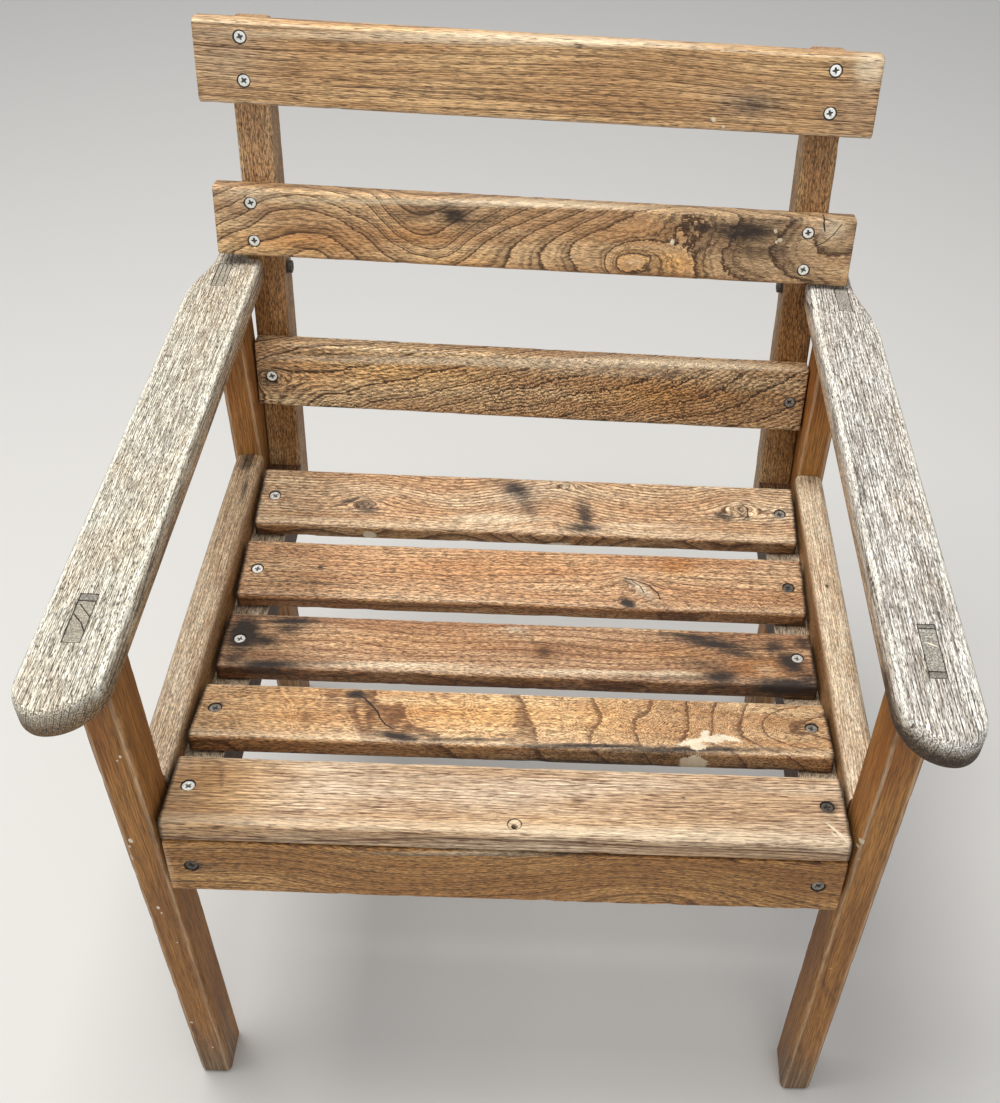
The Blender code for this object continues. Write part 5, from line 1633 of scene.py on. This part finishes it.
@dataclass
class Arm:
    """An arm: a plate with a rounded nose, a waist at the back, a notch round the stile and two mortises.

    In plan every point lies on a ring round the nose's core, by its longer share of the way from the core
    to the rim. Rings near the rim follow the quarter circle of the rounded edge, and in front of the core
    the square rings are drawn round, so that the nose is two quarter ovals that meet at its tip.
    """

    side_name: str
    line: ArmLine
    look: Look
    mortises: tuple[Pair, ...]
    waist: Pair
    inner_x: float = 250.8 * MM
    outer_x: float = 307.6 * MM
    tip_x: float = 285.0 * MM
    rear_outer_x: float = 293.2 * MM
    notch_x: float = 263.9 * MM
    notch_depth: float = 502.2 * MM
    tenon_x: Pair = TENON_X
    mortise_depth: float = 12.0 * MM
    inner_reach: float = 43.5 * MM
    outer_reach: float = 31.5 * MM
    edge_round: float = 5.5 * MM
    pitch: float = 2.2 * MM

    def __post_init__(self) -> None:
        """Take the ends of the arm from the frame."""
        low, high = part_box(f"arm_{self.side_name}")
        self.tip_y, self.rear_y = low[1] + 0.05 * MM, high[1] - 0.1 * MM
        self.side = SIDES[self.side_name]

    def block(self) -> Made:
        """Rule the block, with double lines at the mortises' edges and at the notch.

        Returns:
            Its points and quads.
        """
        close = 0.06 * MM
        low_x, high_x = self.tenon_x[0] - GAP, self.tenon_x[1] + GAP
        xs = ruled_lines(self.inner_x, self.outer_x, self.pitch, self.edge_round, arcs=7,
                         fine=[(crack_x(crack) * MM, 2.5 * MM, 0.5 * MM) for crack in self.look.cracks])
        xs = with_lines(xs, (low_x, low_x + close, high_x - close, high_x, self.tip_x))
        ys = ruled_lines(self.tip_y, self.rear_y, self.pitch, fine=[(self.tip_y, 14.0 * MM, 0.8 * MM),
                                                                    (self.rear_y, 6.0 * MM, 0.9 * MM)])
        extra = [self.line.front + self.notch_depth + shift for shift in (-close, close)]
        for start, end in self.mortises:
            extra += [start, start + close, end - close, end]
        ys = with_lines(ys, extra)
        half = self.line.thickness / 2
        zs = ruled_lines(-half, half, self.pitch, self.edge_round, arcs=7)
        return Made(*block_surface(xs, ys, zs))

    def plan(self, points: Array) -> Array:
        """Round the rim and the nose.

        Args:
            points: the block's points.

        Returns:
            New points.
        """
        x, y, z = points.T
        half = self.line.thickness / 2
        r = self.edge_round
        inner = x < self.tip_x
        reach_x = np.where(inner, self.tip_x - self.inner_x, self.outer_x - self.tip_x)
        reach_y = np.where(inner, self.inner_reach, self.outer_reach)
        a = np.abs(x - self.tip_x) / reach_x
        b = np.maximum(0.0, self.tip_y + reach_y - y) / reach_y
        ring = np.maximum(a, b)
        angle = np.arctan2(b, np.maximum(a, 1e-9))
        radius = np.hypot(reach_x * np.cos(angle), reach_y * np.sin(angle))
        start = 1.0 - r / radius
        rim = np.clip((ring - start) / (1.0 - start), 0.0, 1.0)
        on_rim = ring > 1.0 - 1e-9
        up = np.clip((np.abs(z) - half + r) / r, 0.0, 1.0)
        arc = np.where(on_rim, math.pi / 2 - np.arctan(up), np.arctan(rim))
        new_ring = np.where(rim > 0, start + np.sin(arc) * (1.0 - start), ring)
        lift = np.where(np.abs(z) > half - r, half - r + r * np.cos(arc), np.abs(z))
        z = np.sign(z) * np.where(rim > 0, lift, np.abs(z))
        scale = np.divide(new_ring, ring, out=np.ones_like(ring), where=ring > 1e-9)
        a, b = a * scale, b * scale
        round_off = drawn_round(np.stack((a, b), axis=1), np.ones(2))
        x = self.tip_x + np.where(inner, -1.0, 1.0) * round_off[:, 0] * reach_x
        y = np.where(b > 0, self.tip_y + reach_y - round_off[:, 1] * reach_y, y)
        return np.stack((x, y, z), axis=1)

    def trim(self, points: Array) -> Array:
        """Draw the outer edge in along the waist, and move the inner edge over behind the notch.

        A rim shifts whole, and the flat beside the mortises takes up the difference.

        Args:
            points: the rounded block's points.

        Returns:
            New points.
        """
        x, y, z = points.T
        depth = y - self.line.front
        draw = (self.outer_x - self.rear_outer_x) * 0.5 * (
            1.0 - np.cos(math.pi * np.clip((depth - self.waist[0]) / (self.waist[1] - self.waist[0]),
                                           0.0, 1.0)))
        fixed = self.tenon_x[1] + GAP
        x = x - draw * np.clip((x - fixed) / (self.outer_x - self.edge_round - fixed), 0.0, 1.0)
        over = np.where(depth > self.notch_depth, self.notch_x - self.inner_x, 0.0)
        fixed = self.tenon_x[0] - GAP
        x = x + over * np.clip((fixed - x) / (fixed - self.inner_x - self.edge_round), 0.0, 1.0)
        end = 3.0 * MM
        into = np.clip((y - self.rear_y + end) / end, 0.0, 1.0)
        inset = end * (1.0 - np.sqrt(1.0 - into ** 2 * 0.999))
        z = z * (1.0 - inset / (self.line.thickness / 2))
        return np.stack((x, y, z), axis=1)

    def build(self) -> None:
        """Build the arm."""
        made, clear = self.block(), 0.03 * MM
        face = made.points[:, 2] > self.line.thickness / 2 - 1e-7
        flat = made.points.copy()
        points = made.points = self.trim(self.plan(made.points))
        sway = np.clip(waves(points, self.look.grain.seed, (30.0 * MM, 80.0 * MM, 30.0 * MM)), -1.1, 1.1)
        points[:, 2] -= np.sign(points[:, 2]) * (0.3 * MM * (0.5 + 0.45 * sway))
        self.dress(made)
        for start, end in self.mortises:
            inside = face & (flat[:, 0] > self.tenon_x[0] - GAP + clear)
            inside &= (flat[:, 0] < self.tenon_x[1] + GAP - clear)
            inside &= (flat[:, 1] > start + clear) & (flat[:, 1] < end - clear)
            points[inside, 2] -= self.mortise_depth
        points[:, 2] += self.line.top(points[:, 1]) - self.line.thickness / 2
        made.mirror(self.side)
        make_piece(f"arm_{self.side_name}_board", made, self.look.wood, f"arm_{self.side_name}")

    def dress(self, made: Made) -> None:
        """Give the wood its grain and its marks: its own x runs back along the arm, its top is bleached, and
        its lower sides and nose are darkened as painted shade.

        Args:
            made: the trimmed arm, before it is sloped.
        """
        points, half = made.points, self.line.thickness / 2
        middle = (self.inner_x + self.outer_x) / 2
        own = np.stack((points[:, 1] - self.line.front, points[:, 0] - middle, points[:, 2]), axis=1)
        made.take_grain(*self.look.grain.read(own))
        bleach = smooth(-1.1 * half, 0.85 * half, points[:, 2])
        nose = smooth(36.0 * MM, 6.0 * MM, own[:, 0])
        lower = smooth(0.75 * half, -0.85 * half, points[:, 2])
        rim = np.minimum(np.abs(points[:, 0] - self.inner_x), np.abs(points[:, 0] - self.outer_x))
        # Painted shade: the lower sides and underside take a deeper tone, and the nose below its top is
        # darkened more, most on the right arm.
        deep, nose_shade = (0.8, 0.75) if self.side > 0 else (0.45, 0.4)
        made.mark(GREY, bleach)
        made.mark(DEEP, (0.35 + deep * nose) * lower)
        # A lighter band along the top rim: worn wood, and a painted highlight.
        made.mark(WEAR_AND_HIGHLIGHT, 0.8 * np.exp(-((rim - 3.2 * MM) / (1.8 * MM)) ** 2) * smooth(0.3, 0.9, bleach))
        made.mark(STAIN_AND_SHADE, nose_shade * nose * smooth(0.85 * half, -0.2 * half, points[:, 2]))
        for mark in self.look.marks:
            made.mark(mark.kind, mark.cover(own, half))


def crack_x(crack: Crack) -> float:
    """Mean place of a crack across a board."""
    return float(np.mean([point[1] for point in crack.path]))


@dataclass
class Peg:
    """A tenon or wedge that shows in the top of an arm: a short block with upright fibres."""

    name: str
    nodes: tuple[str, ...]
    side: float
    line: ArmLine
    top_y: Pair
    low_y: Pair
    wood: Wood
    seed: int
    x_range: Pair = TENON_X
    below_top: float = 0.25 * MM
    length: float = 27.5 * MM
    pitch: float = 0.45 * MM
    pith: float = 30.0 * MM
    ring: float = 2.6 * MM

    def build(self) -> None:
        """Build the peg.

        Its sides run straight from the low range to the top range, and its top follows the arm's.
        """
        ys = ruled_lines(self.top_y[0], self.top_y[1], self.pitch)
        xs = ruled_lines(self.x_range[0], self.x_range[1], self.pitch)
        made = Made(*block_surface(xs, ys, np.array((0.0, 0.7, 0.985, 1.0))))
        points = made.points
        share = points[:, 2].copy()
        along = (points[:, 1] - self.top_y[0]) / (self.top_y[1] - self.top_y[0])
        low = self.low_y[0] + along * (self.low_y[1] - self.low_y[0])
        points[:, 1] = low + (points[:, 1] - low) * share
        top = self.line.top(points[:, 1]) - self.below_top
        rough = 0.12 * MM * waves(points, self.seed, (3.0 * MM, 3.0 * MM, 9.0 * MM))
        points[:, 2] = top - (1.0 - share) * self.length - np.where(share > 0.9, 0.12 * MM + rough, 0.0)
        middle_x, middle_y = sum(self.x_range) / 2, sum(self.top_y) / 2
        own = np.stack((points[:, 0] - middle_x, points[:, 1] - middle_y, points[:, 2]), axis=1)
        rings = np.hypot(own[:, 1] + self.pith, own[:, 0]) / self.ring
        fibre = np.stack((points[:, 2], own[:, 0], own[:, 1]), axis=1)
        made.take_grain(fibre, rings)
        edge_x = np.minimum(points[:, 0] - self.x_range[0], self.x_range[1] - points[:, 0])
        edge_y = np.minimum(along, 1.0 - along) * (self.top_y[1] - self.top_y[0])
        made.mark(GREY, 1.0)
        made.mark(STAIN_AND_SHADE, 1.1 * smooth(0.9 * MM, 0.1 * MM, np.minimum(edge_x, edge_y)))
        for mark in PEG_MARKS.get(self.name, ()):
            made.mark(mark.kind, mark.cover(own, 10.0 * MM))
        for crack in PEG_CRACKS.get(self.name, ()):
            made.mark(STAIN_AND_SHADE, 1.5 * crack.opening(own))
            points[:, 2] -= np.where(share > 0.99, crack.depth * MM * crack.opening(own), 0.0)
        made.mirror(self.side)
        make_piece(self.name, made, self.wood, *self.nodes)


LEG_FLAKES = {
    ("left", "front"): (
        (200, -6, 1.8, 1.0, 0.8), (195, -3, 1.2, 1.0, 0.7), (96, 7, 2.6, 1.7, 1.2), (88, 9, 1.4, 1.0, 1.0),
        (73, 10.4, 4.0, 0.9, 1.0), (48, 12, 2.2, 0.9, 1.0), (2, 3, 2.2, 1.3, 1.2), (-6, 1.6, 1.6, 0.8, 1.0),
        (-52, -3, 1.2, 0.9, 0.9), (-192, 8, 2.6, 1.8, 0.9), (-240, -4, 1.8, 1.1, 0.8)),
    ("right", "front"): (
        (126, 12.0, 2.8, 1.8, 1.2), (118, 13.0, 1.6, 1.2, 1.0), (104, 10, 1.2, 0.8, 0.9),
        (-60, 4, 1.2, 0.9, 0.8)),
}
RAIL_STAINS = {
    "left": ((190, 0, 22, 9, 0.8), (150, -6, 30, 5, 0.6), (60, 4, 40, 2, 0.4), (-120, 0, 60, 2, 0.35)),
    "right": ((40, 2, 3, 2, 1.0), (-60, 5, 60, 2, 0.35), (196, 0, 12, 14, 0.5), (110, -3, 40, 2, 0.3)),
}
RAIL_SHADES = {"left": ((150, 0, 120, 40, 0.6), (195, 0, 40, 40, 0.8)), "right": ((198, 0, 20, 40, 0.4),)}


@dataclass
class SideFrame:
    """The legs, rail and arm of one side, with the tenons and wedges that show in the arm."""

    side_name: str
    front_tenon: Pair
    wedges: dict[str, Pair]
    waist: Pair
    leg: Pair = (29.0 * MM, 43.8 * MM)
    leg_inner_x: float = 263.9 * MM
    rear_depth: float = 449.0 * MM
    rear_tenon: Pair = (452.2 * MM, 492.0 * MM)
    rail: Pair = (27.3 * MM, 70.0 * MM)
    rail_top: float = 415.9 * MM

    def __post_init__(self) -> None:
        """Take the legs' front from the frame."""
        self.side = SIDES[self.side_name]
        self.front = float(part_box("front_leg_left")[0][1])
        self.line = ArmLine(self.front)
        self.seed = 60 if self.side < 0 else 70

    def build(self) -> None:
        """Build the legs, the rail, the tenons, the wedges and the arm."""
        self.build_legs()
        self.build_rail()
        mortises = self.build_tenons()
        self.build_wedges()
        Arm(self.side_name, self.line, ARM_LOOKS[self.side_name], mortises, self.waist).build()

    def build_legs(self) -> None:
        """Build the front and the rear leg."""
        for number, (end, depth) in enumerate((("front", 0.0), ("rear", self.rear_depth))):
            length = float(self.line.under(np.array(self.front + depth)))
            centre = (self.side * (self.leg_inner_x + self.leg[0] / 2), self.front + depth + self.leg[1] / 2,
                      length / 2)
            placing = Placing(centre, (0.0, 0.0, 1.0), (-1.0, 0.0, 0.0), (0.0, -1.0, 0.0))
            look = self.leg_look(self.seed + number, end, length)
            Leg(f"{end}_leg_{self.side_name}", (length, *self.leg), placing, look, edge_round=5.5 * MM,
                end_round=5.0 * MM, round_both_ends=False, line=self.line).build()

    def build_rail(self) -> None:
        """Build the rail between the legs."""
        node = f"side_rail_{self.side_name}"
        start, end = self.front + self.leg[1] + GAP, self.front + self.rear_depth - GAP
        y = (start + end) / 2
        z = self.rail_top - RAIL_SLOPE * (y - self.front) - self.rail[1] / 2
        placing = Placing((middle_of(node)[0], y, z), (0.0, 1.0, 0.0), (-1.0, 0.0, 0.0), (0.0, 0.0, 1.0))
        spots = marks(STAIN_AND_SHADE, *RAIL_STAINS[self.side_name]) + marks(DEEP, *RAIL_SHADES[self.side_name])
        # Painted shade: the rail's sides and underside are darkened; its top is greyed.
        look = Look(RAIL_WOOD, Grain(self.seed + 4, ring=5.0, pith_y=90.0, sway=0.5), spots,
                    top_bleach=0.95, side_shade=0.85, under_shade=0.9)
        Rail(node, (end - start, *self.rail), placing, look, edge_round=9.0 * MM, end_round=0.4 * MM,
             side=self.side).build()

    def build_tenons(self) -> tuple[Pair, ...]:
        """Build the tenons that show in the arm.

        Returns:
            Where the mortise round each tenon and its wedges starts and ends.
        """
        mortises = []
        wood = END_WOOD if self.side < 0 else RIGHT_END_WOOD
        for end, tenon in (("front", self.front_tenon), ("rear", self.rear_tenon)):
            wedges = self.wedges if end == "front" else {}
            before, after = (wedges.get(place, (0.0, 0.0))[0] for place in ("front", "rear"))
            first, last = (self.front + depth for depth in tenon)
            mortises.append((first - before - GAP * (2 if before else 1),
                             last + after + GAP * (2 if after else 1)))
            Peg(f"{end}_tenon_{self.side_name}", (f"{end}_leg_{self.side_name}",), self.side, self.line,
                (first, last), (first, last), wood, self.seed + 9).build()
        return tuple(mortises)

    def build_wedges(self) -> None:
        """Build the wedges at the front tenon, which narrow downwards."""
        for place, (wide, narrow) in self.wedges.items():
            if place == "front":
                face = self.front + (self.front_tenon[0] - GAP)
                top, low = (face - wide, face), (face - narrow, face)
            else:
                face = self.front + (self.front_tenon[1] + GAP)
                top, low = (face, face + wide), (face, face + narrow)
            node = f"arm_wedge_{self.side_name}_{place}"
            Peg(node + "_cut", (node,), self.side, self.line, top, low, WEDGE_WOOD, self.seed + 15).build()

    def leg_look(self, seed: int, end: str, length: float) -> Look:
        """Say how a leg is dressed: grey and worn at its foot, with painted shade at its top, and flakes of
        paint on the front ones.

        Args:
            seed: seed of its grain.
            end: front or rear.
            length: its height.

        Returns:
            Its look.
        """
        foot = -length / MM / 2
        # The stain 8 mm and the deeper tone 20 mm below the top are painted shade under the arm.
        spots = marks(STAIN_AND_SHADE, (foot, 0, 7, 60, 0.4), (foot + 60, 12, 60, 1.6, 0.4),
                      (foot + 200, -6, 90, 1.4, 0.4), (-foot - 8, 0, 12, 60, 0.5))
        spots += marks(GREY, (foot, 0, 70, 60, 1.0)) + marks(DEEP, (foot, 0, 300, 60, 0.4))
        spots += marks(GOLD, (-foot - 70, 10, 40, 12, 0.9)) + marks(DEEP, (-foot - 20, 0, 30, 60, 0.5))
        if self.side_name == "right":
            spots += marks(STAIN_AND_SHADE, (-92, 4, 18, 2.6, 0.55, 12), (-100, -2, 12, 1.8, 0.45, 16))
        spots += marks(PAINT, *LEG_FLAKES.get((self.side_name, end), ()))
        # The sides and the back are darkened as painted shade, and the front arrises lightened as worn wood
        # with a painted highlight.
        return Look(LEG_WOOD, Grain(seed, ring=6.5, pith_y=120.0, sway=0.5), spots, side_shade=0.25,
                    under_shade=0.3, edge_wear=0.7, arris_wear_and_highlight=0.45)


# ---- stage

FLOOR_REACH = 9.0
FLOOR_COLOUR = (0.70, 0.69, 0.67)
SKY_COLOUR = (0.90, 0.92, 0.95)
SKY_STRENGTH, SKY_STRENGTH_IN_STEEL = 0.42, 1.0


def hang(name: str, data: bpy.types.ID, axes: tuple[Array, ...], place: Vector3) -> bpy.types.Object:
    """Hang a camera or a lamp in the room.

    Args:
        name: the object's name.
        data: the camera or the lamp.
        axes: its three axes, of which the last one points away from what it faces.
        place: where it hangs.

    Returns:
        The new object.
    """
    hung = bpy.data.objects.new(name, data)
    matrix = np.eye(4)
    matrix[:3, :3] = np.column_stack(axes)
    matrix[:3, 3] = place
    hung.matrix_world = Matrix(matrix.tolist())
    bpy.context.scene.collection.objects.link(hung)
    return hung


@dataclass(frozen=True)
class Camera:
    """A camera that looks down at the chair from the front. Its angles are in degrees."""

    place: Vector3 = (0.0312, -0.84885, 1.2665)
    pitch: float = -45.14
    yaw: float = 1.36
    roll: float = 3.07
    lens: float = 44.41
    shift: Pair = (-0.0725, 0.0349)

    def build(self) -> None:
        """Set the camera up."""
        pitch, yaw, roll = (math.radians(angle) for angle in (self.pitch, self.yaw, self.roll))
        forward = np.array((math.sin(yaw) * math.cos(pitch), math.cos(yaw) * math.cos(pitch), math.sin(pitch)))
        level = np.array((math.cos(yaw), -math.sin(yaw), 0.0))
        up = np.cross(level, forward)
        right = level * math.cos(roll) + up * math.sin(roll)
        above = up * math.cos(roll) - level * math.sin(roll)
        data = bpy.data.cameras.new("camera")
        data.lens = self.lens
        data.shift_x, data.shift_y = self.shift
        bpy.context.scene.camera = hang("camera", data, (right, above, -forward), self.place)


@dataclass(frozen=True)
class Lamp:
    """A soft square lamp that faces the chair. Its power is in watts."""

    name: str
    place: Vector3
    size: float
    power: float
    colour: Colour
    target: Vector3 = (0.0, 0.0, 0.4)

    def build(self) -> None:
        """Hang the lamp."""
        data = bpy.data.lights.new(self.name, "AREA")
        data.size, data.energy, data.color = self.size, self.power, self.colour
        out = np.array(self.place) - np.array(self.target)
        out /= np.linalg.norm(out)
        side = np.cross((0.0, 1.0, 0.1), out)
        side /= np.linalg.norm(side)
        hang(self.name, data, (side, np.cross(out, side), out), self.place)


LAMPS = (Lamp("high lamp", (-0.5, 0.1, 2.6), 1.4, 58.0, (1.0, 0.98, 0.94)),
         Lamp("front lamp", (0.6, -2.2, 1.8), 1.6, 14.0, (1.0, 0.98, 0.95)))


def make_stage() -> None:
    """Set up a wide pale floor, a pale sky that is brighter in the steel, and the lamps."""
    floor_z = float(CAD_BOX[0][2])
    mesh = bpy.data.meshes.new("floor")
    corners = [(x * FLOOR_REACH, y * FLOOR_REACH, floor_z) for x, y in ((-1, -1), (1, -1), (1, 1), (-1, 1))]
    mesh.from_pydata(corners, [], [(0, 1, 2, 3)])
    floor = bpy.data.objects.new("floor", mesh)
    bpy.context.scene.collection.objects.link(floor)
    g = Graph("pale floor")
    g.put(g.shader.inputs["Base Color"], FLOOR_COLOUR)
    g.put(g.shader.inputs["Roughness"], 0.9)
    mesh.materials.append(g.material)
    world = bpy.data.worlds.new("pale sky")
    world.use_nodes = True
    tree = world.node_tree
    sky = tree.nodes["Background"]
    sky.inputs["Color"].default_value = (*SKY_COLOUR, 1.0)
    rays = tree.nodes.new("ShaderNodeLightPath")
    strength = tree.nodes.new("ShaderNodeMapRange")
    strength.inputs["To Min"].default_value = SKY_STRENGTH
    strength.inputs["To Max"].default_value = SKY_STRENGTH_IN_STEEL
    tree.links.new(rays.outputs["Is Glossy Ray"], strength.inputs["Value"])
    tree.links.new(strength.outputs["Result"], sky.inputs["Strength"])
    bpy.context.scene.world = world
    for lamp in LAMPS:
        lamp.build()
    bpy.context.scene.view_settings.view_transform = "Standard"


def dress_bolts() -> None:
    """Give the frame's bolts, nuts, washers and hidden screws their dull zinc."""
    for side_name in SIDES:
        names = [f"{place}_{kind}_{side_name}" for place in ("arm", "leg")
                 for kind in ("bolt", "nut", "washer")] + [f"bearer_screw_{side_name}"]
        for name in names:
            piece = bpy.data.objects[name]
            for slot in piece.material_slots:
                slot.material = DARK_ZINC.material()
            log.info("%s: dark zinc", name)


def main() -> None:
    """Build the chair in order: seat, back, side frames, fixings, then the stage."""
    Seat().build()
    Back().build()
    SideFrame("left", (0.4 * MM, 40.0 * MM), {"rear": (6.7 * MM, 2.2 * MM)},
              (434.0 * MM, 510.0 * MM)).build()
    SideFrame("right", (2.5 * MM, 42.7 * MM), {"front": (6.2 * MM, 1.8 * MM), "rear": (4.0 * MM, 1.4 * MM)},
              (418.0 * MM, 505.0 * MM)).build()
    dress_bolts()
    Camera().build()
    make_stage()


if __name__ == "__main__":
    main()
